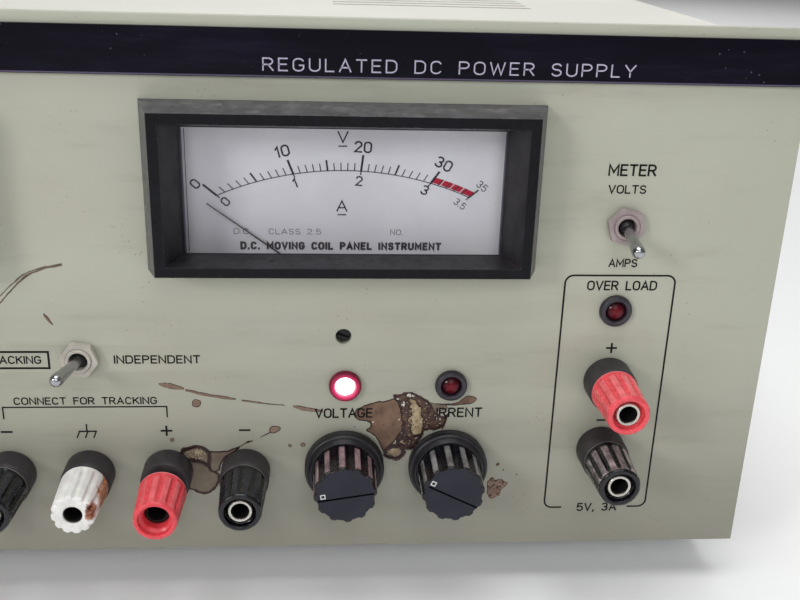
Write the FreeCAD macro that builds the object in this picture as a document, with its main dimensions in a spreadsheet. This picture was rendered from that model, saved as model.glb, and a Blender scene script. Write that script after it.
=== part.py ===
# Dual tracking bench power supply with a fixed third output.
# Millimetres. X to the right, the front panel faces -Y, Z up.
# The origin is the centre of the overall box at the level the feet stand on.
# Depth positions in the sheet count from the front panel's outer face, so every
# piece is placed with the same shift along Y.
import FreeCAD, Part
import Sketcher
import math
import os
from FreeCAD import Vector, Placement, Rotation

doc = FreeCAD.newDocument("BenchPowerSupply")
sheet = doc.addObject("Spreadsheet::Sheet", "Sizes")
SIZES = [
    ("depth_shift", 147.7, "from the panel's face to the origin"),
    ("panel_width", 333.0, "front panel width"),
    ("panel_foot", 12.0, "lower edge of the panel above the table"),
    ("panel_top", 145.0, "upper edge of the panel"),
    ("panel_thick", 2.5, "front panel thickness"),
    ("strip_low", 132.4, "nameplate strip, lower edge"),
    ("strip_high", 142.65, "nameplate strip, upper edge"),
    ("strip_thick", 1.0, "nameplate strip thickness"),
    ("case_half", 165.0, "half the case width"),
    ("case_back", 290.0, "outer face of the rear panel"),
    ("case_top", 140.0, "outer face of the top cover"),
    ("cover_thick", 1.2, "top cover sheet"),
    ("base_thick", 1.5, "bottom and side sheet"),
    ("rear_thick", 1.5, "rear panel sheet"),
    ("rail_side", 8.0, "corner rail section"),
    ("post_row", 34.9, "height of the output terminals"),
    ("post_pitch", 19.05, "spacing of the output terminals"),
    ("post_hole", 4.0, "terminal hole radius in the panel"),
    ("aux_column", 127.7, "centre line of the right hand column"),
    ("aux_red", 59.55, "height of the third output, positive"),
    ("aux_black", 40.37, "height of the third output, negative"),
    ("collar_rad", 6.05, "terminal collar radius"),
    ("collar_high", 6.9, "terminal collar height"),
    ("stud_rad", 2.95, "terminal stud radius"),
    ("stud_tip", 18.9, "terminal stud front end"),
    ("plug_rad", 2.05, "plug socket radius"),
    ("plug_deep", 14.0, "plug socket depth"),
    ("cap_root", 5.7, "terminal cap radius at the collar"),
    ("cap_nose", 5.05, "terminal cap radius near the nose"),
    ("cap_tip", 19.6, "terminal cap front end"),
    ("cap_bore", 3.0, "terminal cap bore radius"),
    ("cap_mouth", 3.5, "terminal cap front opening radius"),
    ("cap_open", 3.0, "how far the loosened cap is unscrewed"),
    ("knob_row", 36.3, "height of the control knobs"),
    ("knob_near", 62.7, "inner knob column"),
    ("knob_far", 88.7, "outer knob column"),
    ("skirt_rad", 9.9, "knob skirt radius"),
    ("skirt_high", 3.6, "knob skirt upper edge"),
    ("knob_rad", 7.7, "knob grip radius"),
    ("knob_tip", 14.8, "knob front face"),
    ("disc_rad", 6.6, "knob cap disc recess radius"),
    ("shaft_rad", 3.0, "control shaft radius"),
    ("lamp_row", 58.3, "height of the mode lamps"),
    ("lamp_aux", 78.1, "height of the overload lamp"),
    ("lamp_rim", 3.95, "lamp bezel radius"),
    ("lamp_rad", 2.35, "lamp lens radius"),
    ("zero_row", 71.2, "height of the meter zero adjusters"),
    ("zero_hole", 1.9, "zero adjuster access hole radius"),
    ("track_row", 65.7, "height of the tracking switch"),
    ("select_row", 99.5, "height of the meter switches"),
    ("toggle_hole", 3.1, "toggle bushing hole radius"),
    ("toggle_tilt", 13.0, "toggle lever angle each way"),
    ("meter_mid", 62.2, "centre line of a meter"),
    ("meter_half", 44.9, "half the bezel width at the panel"),
    ("meter_low", 88.1, "bezel lower edge"),
    ("meter_high", 127.2, "bezel upper edge"),
    ("meter_proud", 9.6, "bezel height above the panel"),
    ("needle_axis", 80.1, "height of the needle's pivot"),
    ("needle_long", 39.0, "needle length from the pivot"),
    ("needle_rest", 54.0, "needle angle at zero, left of upright"),
]
for i, (alias, value, note) in enumerate(SIZES, 1):
    sheet.set("A%d" % i, note)
    sheet.set("B%d" % i, "%g" % value)
    sheet.setAlias("B%d" % i, alias)
doc.recompute()


class Size:
    """A number from the sheet together with the expression that gives it."""

    def __init__(self, value, text):
        self.value = float(value)
        self.text = text

    def _both(self, other, sign, op):
        if not isinstance(other, Size):
            other = Size(other, "%.6g" % other)
        return Size(op(self.value, other.value), "(%s %s %s)" % (self.text, sign, other.text))

    def __add__(self, other):
        return self._both(other, "+", lambda a, b: a + b)

    def __sub__(self, other):
        return self._both(other, "-", lambda a, b: a - b)

    def __mul__(self, other):
        return self._both(other, "*", lambda a, b: a * b)

    def __neg__(self):
        return Size(-self.value, "(0 - %s)" % self.text)


def S(alias):
    return Size(sheet.get(alias), "Sizes.%s" % alias)


def V(alias):
    return float(sheet.get(alias))


def num(q):
    return q.value if isinstance(q, Size) else float(q)


NODES = []          # the objects that are written out
SHIFT = Vector(0, -V("depth_shift"), 0)


def node(obj, label):
    obj.Label = label
    obj.Placement = Placement(obj.Placement.Base + SHIFT, obj.Placement.Rotation)
    NODES.append(obj)
    return obj


def body(name):
    return doc.addObject("PartDesign::Body", name)


def sketch(b, name, role, offset=0.0):
    sk = b.newObject("Sketcher::SketchObject", name)
    plane = [f for f in b.Origin.OriginFeatures if f.Role == role][0]
    sk.AttachmentSupport = [(plane, "")]
    sk.MapMode = "FlatFace"
    sk.AttachmentOffset = Placement(Vector(0, 0, num(offset)), Rotation())
    if isinstance(offset, Size):
        sk.setExpression("AttachmentOffset.Base.z", offset.text)
    return sk


def pin_point(sk, geo, pos, x, y):
    """Fix a point of the sketch at x, y from the origin, bound to the sheet."""
    for kind, q in (("DistanceX", x), ("DistanceY", y)):
        if abs(num(q)) < 1e-9:
            sk.addConstraint(Sketcher.Constraint("PointOnObject", geo, pos, -2 if kind == "DistanceX" else -1))
            continue
        i = sk.addConstraint(Sketcher.Constraint(kind, -1, 1, geo, pos, num(q)))
        if isinstance(q, Size):
            sk.setExpression("Constraints[%d]" % i, q.text)


def polygon(sk, points):
    n0 = sk.GeometryCount
    k = len(points)
    pts = [Vector(num(x), num(y), 0) for x, y in points]
    sk.addGeometry([Part.LineSegment(pts[i], pts[(i + 1) % k]) for i in range(k)], False)
    for i in range(k):
        sk.addConstraint(Sketcher.Constraint("Coincident", n0 + i, 2, n0 + (i + 1) % k, 1))
    for i, (x, y) in enumerate(points):
        pin_point(sk, n0 + i, 1, x, y)


def rect(sk, x0, y0, x1, y1):
    polygon(sk, [(x0, y0), (x1, y0), (x1, y1), (x0, y1)])


def circle(sk, x, y, r):
    g = sk.addGeometry(Part.Circle(Vector(num(x), num(y), 0), Vector(0, 0, 1), num(r)), False)
    pin_point(sk, g, 3, x, y)
    i = sk.addConstraint(Sketcher.Constraint("Radius", g, num(r)))
    if isinstance(r, Size):
        sk.setExpression("Constraints[%d]" % i, r.text)


def pad(b, sk, length, reverse=False, name="Pad"):
    p = b.newObject("PartDesign::Pad", name)
    p.Profile = sk
    p.Length = num(length)
    if isinstance(length, Size):
        p.setExpression("Length", length.text)
    p.Reversed = reverse
    return p


def pocket(b, sk, length=None, reverse=False, name="Pocket"):
    p = b.newObject("PartDesign::Pocket", name)
    p.Profile = sk
    if length is None:
        p.Type = "ThroughAll"
    else:
        p.Length = num(length)
        if isinstance(length, Size):
            p.setExpression("Length", length.text)
    p.Reversed = reverse
    before = b.Tip
    doc.recompute()
    return p


def turned(name, points):
    """A body turned about the Y axis. points are (radius, y), y negative towards the front."""
    b = body(name)
    sk = sketch(b, name + "_profile", "XY_Plane")
    polygon(sk, points)
    r = b.newObject("PartDesign::Revolution", name + "_turn")
    r.Profile = sk
    r.ReferenceAxis = (sk, ["V_Axis"])
    r.Angle = 360
    doc.recompute()
    return b


def linear(b, feature, role_axis, length, count, name):
    pat = b.newObject("PartDesign::LinearPattern", name)
    pat.Originals = [feature]
    axis = [f for f in b.Origin.OriginFeatures if f.Role == role_axis][0]
    pat.Direction = (axis, [""])
    pat.Length = length
    pat.Occurrences = count
    b.Tip = pat
    doc.recompute()
    return pat


def polar(b, feature, count, name):
    pat = b.newObject("PartDesign::PolarPattern", name)
    pat.Originals = [feature]
    axis = [f for f in b.Origin.OriginFeatures if f.Role == "Y_Axis"][0]
    pat.Axis = (axis, [""])
    pat.Angle = 360
    pat.Occurrences = count
    b.Tip = pat
    doc.recompute()
    return pat


def same(label, template, places):
    """Identical solids at several places, as one object."""
    f = doc.addObject("Part::Feature", label)
    shapes = []
    for p in places:
        s = template.copy()
        s.Placement = p.multiply(s.Placement)
        shapes.append(s)
    f.Shape = shapes[0] if len(shapes) == 1 else Part.makeCompound(shapes)
    return node(f, label)


def at(x, z, y=0.0, rot=None):
    return Placement(Vector(x, y, z), rot or Rotation())


def cyl_y(r, y0, y1, x=0.0, z=0.0):
    return Part.makeCylinder(r, y1 - y0, Vector(x, y0, z), Vector(0, 1, 0))


def cyl_z(r, z0, z1, x=0.0, y=0.0):
    return Part.makeCylinder(r, z1 - z0, Vector(x, y, z0), Vector(0, 0, 1))


def box(x0, x1, y0, y1, z0, z1):
    return Part.makeBox(x1 - x0, y1 - y0, z1 - z0, Vector(x0, y0, z0))


def hexagon(flats, y0, y1):
    """A hexagonal prism along Y, its flats facing up and down."""
    r = flats / math.sqrt(3.0)
    pts = [Vector(r * math.cos(math.radians(60 * k)), y0, r * math.sin(math.radians(60 * k))) for k in range(6)]
    return Part.Face(Part.makePolygon(pts + [pts[0]])).extrude(Vector(0, y1 - y0, 0))


# ------------------------------------------------------------------ places
posts = [(-2, "red"), (-1, "black"), (0, "white"), (1, "red"), (2, "black")]
POST = {
    "cap_left_red": (-2 * V("post_pitch"), V("post_row"), 0.0),
    "cap_left_black": (-V("post_pitch"), V("post_row"), 0.0),
    "cap_ground_white": (0.0, V("post_row"), 0.0),
    "cap_right_red": (V("post_pitch"), V("post_row"), V("cap_open")),
    "cap_right_black": (2 * V("post_pitch"), V("post_row"), 0.0),
    "cap_third_red": (V("aux_column"), V("aux_red"), 0.0),
    "cap_third_black": (V("aux_column"), V("aux_black"), 0.0),
}
KNOB = {
    "right_voltage": (V("knob_near"), -90.0),
    "right_current": (V("knob_far"), -61.0),
    "left_voltage": (-V("knob_far"), -75.0),
    "left_current": (-V("knob_near"), -40.0),
}
TOGGLE = {
    "tracking": (0.0, V("track_row")),
    "left_meter": (-V("aux_column"), V("select_row")),
    "right_meter": (V("aux_column"), V("select_row")),
}
LAMP = [(V("knob_near"), V("lamp_row")), (-V("knob_far"), V("lamp_row")),
        (V("knob_far"), V("lamp_row")), (-V("knob_near"), V("lamp_row")),
        (V("aux_column"), V("lamp_aux"))]

# ------------------------------------------------------------------ front panel
b = body("FrontPanel")
sk = sketch(b, "panel_outline", "XZ_Plane")
half = S("panel_width") * 0.5
rect(sk, -half, S("panel_foot"), half, S("panel_top"))
pad(b, sk, S("panel_thick"), reverse=True, name="panel_pad")
doc.recompute()
blank = b.Shape.Volume
sk = sketch(b, "panel_holes", "XZ_Plane")
for k, _ in posts:
    circle(sk, S("post_pitch") * k, S("post_row"), S("post_hole"))
circle(sk, S("aux_column"), S("aux_red"), S("post_hole"))
circle(sk, S("aux_column"), S("aux_black"), S("post_hole"))
for sx in (1, -1):
    circle(sk, S("knob_near") * sx, S("knob_row"), S("shaft_rad") + 0.7)
    circle(sk, S("knob_far") * sx, S("knob_row"), S("shaft_rad") + 0.7)
    circle(sk, S("knob_near") * sx, S("lamp_row"), S("lamp_rad") + 0.85)
    circle(sk, S("knob_far") * sx, S("lamp_row"), S("lamp_rad") + 0.85)
    circle(sk, S("meter_mid") * sx, S("zero_row"), S("zero_hole"))
    circle(sk, S("aux_column") * sx, S("select_row"), S("toggle_hole"))
    m = S("meter_mid") * sx
    rect(sk, m - 37.2, S("meter_low") + 3.0, m + 37.2, S("meter_high") - 4.9)
circle(sk, S("aux_column"), S("lamp_aux"), S("lamp_rad") + 0.85)
circle(sk, 0, S("track_row"), S("toggle_hole"))
rect(sk, -S("aux_column") - 6.7, 42.3, -S("aux_column") + 6.7, 61.7)
pocket(b, sk, name="panel_cut")
doc.recompute()
assert b.Shape.Volume < blank - 1000, "the panel's holes were not cut"
node(b, "front_panel")

# nameplate strip glued along the top of the panel
st = doc.addObject("Part::Box", "Strip")
st.setExpression("Length", "Sizes.panel_width")
st.setExpression("Width", "Sizes.strip_thick")
st.setExpression("Height", "Sizes.strip_high - Sizes.strip_low")
st.Placement = at(-V("panel_width") / 2, V("strip_low"), -V("strip_thick"))
node(st, "nameplate_strip")

# ------------------------------------------------------------------ case sheets
Y0, YB = V("panel_thick"), V("case_back")
b = body("TopCover")
sk = sketch(b, "cover_outline", "XY_Plane", S("case_top") - S("cover_thick"))
rect(sk, -S("case_half"), S("panel_thick"), S("case_half"), S("case_back") - S("rear_thick"))
pad(b, sk, S("cover_thick"), name="cover_pad")
sk = sketch(b, "cover_slot", "XY_Plane", S("case_top"))
rect(sk, -120.0, 90.0, -60.0, 93.0)
cut = pocket(b, sk, S("cover_thick") + 1.0, name="cover_slot_cut")
linear(b, cut, "Y_Axis", 140.0, 18, "cover_slots_left")
sk = sketch(b, "cover_slot_b", "XY_Plane", S("case_top"))
rect(sk, 60.0, 90.0, 120.0, 93.0)
cut = pocket(b, sk, S("cover_thick") + 1.0, name="cover_slot_cut_b")
linear(b, cut, "Y_Axis", 140.0, 18, "cover_slots_right")
sk = sketch(b, "cover_screw_holes", "XY_Plane", S("case_top"))
COVER_SCREWS = [(sx * 159.4, y) for sx in (-1, 1) for y in (20.0, 145.0, 270.0)]
for x, y in COVER_SCREWS:
    circle(sk, x, y, 1.7)
pocket(b, sk, S("cover_thick") + 1.0, name="cover_screw_cut")
node(b, "top_cover")

b = body("BottomPlate")
sk = sketch(b, "base_outline", "XY_Plane", S("panel_foot"))
rect(sk, -S("case_half"), S("panel_thick"), S("case_half"), S("case_back") - S("rear_thick"))
pad(b, sk, S("base_thick"), name="base_pad")
sk = sketch(b, "base_slot", "XY_Plane", S("panel_foot") + S("base_thick"))
rect(sk, 20.0, 90.0, 80.0, 93.0)
cut = pocket(b, sk, S("base_thick") + 1.0, name="base_slot_cut")
linear(b, cut, "Y_Axis", 120.0, 13, "base_slots")
sk = sketch(b, "base_screw_holes", "XY_Plane", S("panel_foot") + S("base_thick"))
FEET = [(sx * 138.0, y) for sx in (-1, 1) for y in (42.0, 255.0)]
for x, y in FEET:
    circle(sk, x, y, 2.1)
pocket(b, sk, S("base_thick") + 1.0, name="base_screw_cut")
node(b, "bottom_plate")

b = body("SidePlate")
sk = sketch(b, "side_outline", "YZ_Plane")
rect(sk, S("panel_thick"), S("panel_foot") + S("base_thick"), S("case_back") - S("rear_thick"),
     S("case_top") - S("cover_thick"))
pad(b, sk, S("base_thick"), name="side_pad")
sk = sketch(b, "side_slot", "YZ_Plane", S("base_thick"))
rect(sk, 100.0, 50.0, 103.0, 100.0)
cut = pocket(b, sk, S("base_thick") + 1.0, name="side_slot_cut")
linear(b, cut, "Y_Axis", 140.0, 15, "side_slots")
doc.recompute()
side = b.Shape.copy()
same("side_panels", side, [at(V("case_half") - V("base_thick"), 0), at(-V("case_half"), 0)])

b = body("RearPanel")
sk = sketch(b, "rear_outline", "XZ_Plane", -S("case_back"))
rect(sk, -S("case_half"), S("panel_foot"), S("case_half"), S("case_top"))
pad(b, sk, S("rear_thick"), name="rear_pad")
sk = sketch(b, "rear_holes", "XZ_Plane", -S("case_back"))
circle(sk, 0, 104.0, 6.1)
circle(sk, 0, 46.0, 6.1)
REAR_SCREWS = [(sx * 159.4, z) for sx in (-1, 1) for z in (17.5, 134.8)]
for x, z in REAR_SCREWS:
    circle(sk, x, z, 1.7)
pocket(b, sk, S("rear_thick") + 1.0, reverse=True, name="rear_cut")
node(b, "rear_panel")

rs = V("rail_side")
rails = []
xi = V("case_half") - V("base_thick") - 0.1
for sx in (-1, 1):
    for z0 in (V("panel_foot") + V("base_thick") + 0.02, V("case_top") - V("cover_thick") - rs - 0.02):
        x0 = sx * xi if sx < 0 else xi - rs
        r = box(x0, x0 + rs, Y0 + 0.1, YB - V("rear_thick") - 0.1, z0, z0 + rs)
        for x, y in COVER_SCREWS:
            r = r.cut(cyl_z(1.52, 128.0, 141.0, x, y))
        for x, z in REAR_SCREWS:
            r = r.cut(cyl_y(1.52, 276.0, 291.0, x, z))
        rails.append(r)
f = doc.addObject("Part::Feature", "Rails")
f.Shape = Part.makeCompound(rails)
node(f, "frame_rails")

# rubber feet, each held by a screw from below
foot = body("Foot")
sk = sketch(foot, "foot_profile", "XZ_Plane")
polygon(sk, [(2.1, 5.0), (4.6, 5.0), (4.6, 0.0), (8.2, 0.0), (9.5, 12.0), (2.1, 12.0)])
r = foot.newObject("PartDesign::Revolution", "foot_turn")
r.Profile = sk
r.ReferenceAxis = (sk, ["V_Axis"])
r.Angle = 360
doc.recompute()
same("rubber_feet", foot.Shape, [at(x, 0, y) for x, y in FEET])

# ------------------------------------------------------------------ transformer
TX, TY, TZ = -78.0, 180.0, V("panel_foot") + V("base_thick")
core = box(-48, 48, -22, 22, 0, 80)
for sx in (-1, 1):
    core = core.cut(box(sx * 24 - 8, sx * 24 + 8, -23, 23, 16, 64))
BOLTS = [(sx * 42.0, z) for sx in (-1, 1) for z in (6.5, 73.5)]
for x, z in BOLTS:
    core = core.cut(cyl_y(2.2, -23, 23, x, z))
f = doc.addObject("Part::Feature", "Core")
f.Shape = core
f.Placement = Placement(Vector(TX, TY, TZ), Rotation())
node(f, "transformer_core")
coil = box(-31.5, 31.5, -38, 38, 16.5, 63.5).cut(box(-16.3, 16.3, -22.3, 22.3, 10, 70))
coil = coil.makeFillet(5.0, [e for e in coil.Edges if e.Length > 46 and e.Length < 48
                             and abs(abs(e.CenterOfMass.x) - 31.5) < 0.1 and abs(abs(e.CenterOfMass.y) - 38) < 0.1])
f = doc.addObject("Part::Feature", "Coil")
f.Shape = coil
f.Placement = Placement(Vector(TX, TY, TZ), Rotation())
node(f, "transformer_coil")

# screws: cover, rear panel, feet, transformer clamp bolts
screws = []
for x, y in COVER_SCREWS:
    screws.append(cyl_z(3.0, V("case_top"), V("case_top") + 1.8, x, y).fuse(cyl_z(1.5, 132.0, V("case_top"), x, y)))
for x, z in REAR_SCREWS:
    screws.append(cyl_y(3.0, YB, YB + 1.8, x, z).fuse(cyl_y(1.5, YB - 9, YB, x, z)))
for x, y in FEET:
    screws.append(cyl_z(4.0, 3.0, 5.0, x, y).fuse(cyl_z(1.95, 5.0, 17.0, x, y)))
for x, z in BOLTS:
    screws.append(cyl_y(2.0, TY - 22, TY + 22, TX + x, TZ + z)
                  .fuse(cyl_y(3.8, TY - 25, TY - 22, TX + x, TZ + z))
                  .fuse(cyl_y(3.8, TY + 22, TY + 25, TX + x, TZ + z)))
f = doc.addObject("Part::Feature", "Screws")
f.Shape = Part.makeCompound([x.removeSplitter() for x in screws])
node(f, "case_screws")

# ------------------------------------------------------------------ heat sinks
b = body("HeatSink")
sk = sketch(b, "sink_profile", "XY_Plane")
pts = [(-60.0, 0.0), (60.0, 0.0), (60.0, 28.0)]
n = 12
pitch = (120.0 - 2.0) / (n - 1)
for i in range(n):
    xr = 60.0 - i * pitch
    if i:
        pts += [(xr, 5.0), (xr, 28.0)]
    pts += [(xr - 2.0, 28.0)]
    if i < n - 1:
        pts += [(xr - 2.0, 5.0)]
polygon(sk, pts)
pad(b, sk, 100.0, name="sink_pad")
doc.recompute()
same("heatsinks", b.Shape, [at(83.0, 26.0, YB), at(-83.0, 26.0, YB)])

semis = []
for sx in (-1, 1):
    for dx in (-28, 28):
        x = sx * 83 + dx
        semis.append(box(x - 8, x + 8, YB - 6.6, YB - 1.6, 60, 81))
for x in (-10.0, -45.0):
    semis.append(box(x - 14, x + 14, 60, 88, TZ, TZ + 9))
f = doc.addObject("Part::Feature", "Semis")
f.Shape = Part.makeCompound(semis)
node(f, "power_semiconductors")

# ------------------------------------------------------------------ regulator board
BX0, BX1, BY0, BY1, BZ = 12.0, 146.0, 70.0, 240.0, 28.5
board = box(BX0, BX1, BY0, BY1, BZ, BZ + 1.6)
LEGS = [(x, y) for x in (BX0 + 6, BX1 - 6) for y in (BY0 + 6, BY1 - 6)]
for x, y in LEGS:
    board = board.cut(cyl_z(1.6, BZ - 1, BZ + 3, x, y))
f = doc.addObject("Part::Feature", "Board")
f.Shape = board
node(f, "regulator_board")
legs = []
for x, y in LEGS:
    hx = Part.Face(Part.makePolygon([Vector(x + 3.4 * math.cos(math.radians(60 * k)), y + 3.4 * math.sin(math.radians(60 * k)), TZ)
                                     for k in range(7)])).extrude(Vector(0, 0, BZ - TZ))
    legs.append(hx.fuse(cyl_z(1.5, BZ, BZ + 4, x, y)).removeSplitter())
f = doc.addObject("Part::Feature", "Legs")
f.Shape = Part.makeCompound(legs)
node(f, "board_standoffs")
caps = [cyl_z(15.0, BZ + 1.6, BZ + 46.6, x, y) for x, y in ((40, 100), (76, 100), (112, 100), (112, 140))]
caps = [c.makeFillet(1.5, [e for e in c.Edges if abs(e.CenterOfMass.z - (BZ + 46.6)) < 0.01]) for c in caps]
f = doc.addObject("Part::Feature", "Caps")
f.Shape = Part.makeCompound(caps)
node(f, "filter_capacitors")

# ------------------------------------------------------------------ meters
# Each meter hangs behind the panel; only its bezel stands in front of it.
b = body("MeterBezel")
mh = S("meter_half")
lo, hi = S("meter_low"), S("meter_high")
sk0 = sketch(b, "bezel_foot", "XZ_Plane")
rect(sk0, -mh, lo, mh, hi)
sk1 = sketch(b, "bezel_front", "XZ_Plane", S("meter_proud"))
rect(sk1, -mh + 2.9, lo + 1.3, mh - 2.9, hi - 1.3)
loft = b.newObject("PartDesign::AdditiveLoft", "bezel_loft")
loft.Profile = sk0
loft.Sections = [sk1]
loft.Ruled = True
doc.recompute()
full = b.Shape.Volume
sk2 = sketch(b, "view_front", "XZ_Plane", S("meter_proud"))
rect(sk2, -mh + 5.2, lo + 3.6, mh - 5.2, hi - 3.6)
sk3 = sketch(b, "view_back", "XZ_Plane")
rect(sk3, -mh + 8.8, lo + 4.0, mh - 8.8, hi - 5.9)
cutl = b.newObject("PartDesign::SubtractiveLoft", "view_cut")
cutl.Profile = sk2
cutl.Sections = [sk3]
cutl.Ruled = True
doc.recompute()
assert b.Shape.Volume < full * 0.7, "the bezel's opening was not cut"
sk4 = sketch(b, "pane_seat", "XZ_Plane")
rect(sk4, -mh + 7.8, lo + 3.1, mh - 7.8, hi - 5.0)
pocket(b, sk4, 1.1, reverse=True, name="pane_seat_cut")
doc.recompute()
assert b.Shape.BoundBox.YMin < -9 and b.Shape.BoundBox.YMax < 0.01
same("meter_bezels", b.Shape, [at(V("meter_mid"), 0), at(-V("meter_mid"), 0)])
pane = box(-37.0, 37.0, -1.05, -0.05, V("meter_low") + 3.2, V("meter_high") - 5.1)
same("meter_windows", pane, [at(V("meter_mid"), 0), at(-V("meter_mid"), 0)])
dial = box(-41.0, 41.0, 4.0, 4.6, V("meter_low") - 2.0, V("meter_high") - 2.5)
same("meter_dials", dial, [at(V("meter_mid"), 0), at(-V("meter_mid"), 0)])
shell = box(-45.0, 45.0, 4.62, 30.0, 65.0, 127.0)
shell = shell.fuse(cyl_y(19.0, 30.0, 40.0, 0, V("needle_axis") + 8)).removeSplitter()
shell = shell.cut(cyl_y(3.2, 4.0, 9.5, 0, V("needle_axis")))
shell = shell.cut(cyl_y(1.66, 4.0, 9.0, 0, V("zero_row")))
same("meter_housings", shell, [at(V("meter_mid"), 0), at(-V("meter_mid"), 0)])

# needle: a thin tapered pointer on a hub, upright here, then turned back to zero
nl = V("needle_long")
pts = [Vector(-0.55, 2.85, 0), Vector(0.55, 2.85, 0), Vector(0.22, 2.85, nl), Vector(-0.22, 2.85, nl)]
needle = Part.Face(Part.makePolygon(pts + [pts[0]])).extrude(Vector(0, 0.4, 0))
pts = [Vector(-1.0, 2.85, -5.4), Vector(1.0, 2.85, -5.4), Vector(0.9, 2.85, 0), Vector(-0.9, 2.85, 0)]
needle = needle.fuse(Part.Face(Part.makePolygon(pts + [pts[0]])).extrude(Vector(0, 0.4, 0)))
needle = needle.fuse(cyl_y(2.4, 2.75, 9.0)).removeSplitter()
for sx, name in ((1, "needle_right"), (-1, "needle_left")):
    f = doc.addObject("Part::Feature", name.title().replace("_", ""))
    f.Shape = needle
    f.Placement = Placement(Vector(sx * V("meter_mid"), 0, V("needle_axis")), Rotation(Vector(0, 1, 0), -V("needle_rest")))
    node(f, name)

# zero adjusters, slotted, behind their access holes
zs = cyl_y(1.6, 0.9, 8.5).cut(box(-2, 2, 0.5, 1.6, -0.3, 0.3))
for sx, name, turn in ((1, "zero_screw_right", 20), (-1, "zero_screw_left", -35)):
    f = doc.addObject("Part::Feature", name.title().replace("_", ""))
    f.Shape = zs
    f.Placement = Placement(Vector(sx * V("meter_mid"), 0, V("zero_row")), Rotation(Vector(0, 1, 0), turn))
    node(f, name)

# ------------------------------------------------------------------ controls
pot = turned("Potentiometer", [
    (S("shaft_rad") + 0.05, -6.0), (3.5, -6.0), (3.5, 2.55), (8.0, 2.55), (8.0, 13.0), (0, 13.0), (0, 11.0),
    (S("shaft_rad") + 0.05, 11.0)])
same("potentiometers", pot.Shape, [at(KNOB[k][0], V("knob_row")) for k in KNOB])

shaft = doc.addObject("Part::Cylinder", "ShaftBlank")
shaft.setExpression("Radius", "Sizes.shaft_rad")
shaft.Height = 23.0
shaft.Placement = Placement(Vector(0, 10.5, 0), Rotation(Vector(1, 0, 0), 90))
doc.recompute()

kn = turned("Knob", [
    (S("shaft_rad") + 0.02, -7.0), (S("shaft_rad") + 0.02, -12.8), (0, -12.8), (0, -S("knob_tip") + 1.2),
    (S("disc_rad"), -S("knob_tip") + 1.2), (S("disc_rad"), -S("knob_tip")), (S("knob_rad") - 0.35, -S("knob_tip")),
    (S("knob_rad"), -S("knob_tip") + 0.35), (S("knob_rad"), -S("skirt_high") - 1.1),
    (S("skirt_rad") - 1.5, -S("skirt_high") - 1.1), (S("skirt_rad"), -S("skirt_high") + 0.3), (S("skirt_rad"), -0.6),
    (6.4, -0.6), (6.4, -7.0)])
sk = sketch(kn, "flute", "XZ_Plane", S("knob_tip") + 0.5)
circle(sk, 0, S("knob_rad") + 0.45, 0.95)
cut = pocket(kn, sk, S("knob_tip") - S("skirt_high") - 0.7, name="flute_cut")
fl = polar(kn, cut, 12, "flutes")
disc = doc.addObject("Part::Cylinder", "DiscBlank")
disc.setExpression("Radius", "Sizes.disc_rad - 0.03")
disc.Height = 1.1
disc.Placement = Placement(Vector(0, -V("knob_tip") + 1.15, 0), Rotation(Vector(1, 0, 0), 90))
doc.recompute()
for key, (x, turn) in KNOB.items():
    rot = Rotation(Vector(0, 1, 0), turn)
    for label, shape in (("knob_" + key, kn.Shape), ("knob_disc_" + key, disc.Shape), ("shaft_" + key, shaft.Shape)):
        f = doc.addObject("Part::Feature", label.title().replace("_", ""))
        f.Shape = shape.copy()
        if label.startswith("knob_disc") or label.startswith("shaft"):
            f.Shape = Part.makeCompound([shape]).Solids[0]
        base = f.Placement
        f.Placement = Placement(Vector(x, 0, V("knob_row")), rot).multiply(base)
        node(f, label)

nut10 = hexagon(10.0, -2.1, -0.05).cut(cyl_y(3.52, -5, 5))
nut9 = hexagon(9.0, 4.05, 7.0).cut(cyl_y(V("stud_rad") + 0.02, 0, 10))
f = doc.addObject("Part::Feature", "PanelNuts")
group = []
for k in KNOB:
    s = nut10.copy()
    s.Placement = at(KNOB[k][0], V("knob_row"))
    group.append(s)
for k in POST:
    s = nut9.copy()
    s.Placement = at(POST[k][0], POST[k][1])
    group.append(s)
f.Shape = Part.makeCompound(group)
node(f, "panel_nuts")

# ------------------------------------------------------------------ lamps
lb = turned("LampBezel", [
    (S("lamp_rad") + 0.05, -1.2), (S("lamp_rad") + 0.5, -1.65), (3.3, -1.65), (S("lamp_rim"), -1.0), (S("lamp_rim"), 0.0),
    (3.1, 0.0), (3.1, 6.0), (S("lamp_rad") + 0.05, 6.0)])
same("lamp_bezels", lb.Shape, [at(x, z) for x, z in LAMP])
lens = cyl_y(V("lamp_rad"), -0.75, 5.5)
dome_high = 1.05
dome_rad = (V("lamp_rad") ** 2 + dome_high ** 2) / (2 * dome_high)
dome = Part.makeSphere(dome_rad, Vector(0, 0, 0))
dome.Placement = Placement(Vector(0, -0.75 - dome_high + dome_rad, 0), Rotation())
dome = dome.common(cyl_y(V("lamp_rad"), -3.0, 0.0))
lens = lens.fuse(dome).removeSplitter()
same("lamps_lit", lens, [at(x, z) for x, z in LAMP[:2]])
same("lamps_dark", lens, [at(x, z) for x, z in LAMP[2:]])

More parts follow.
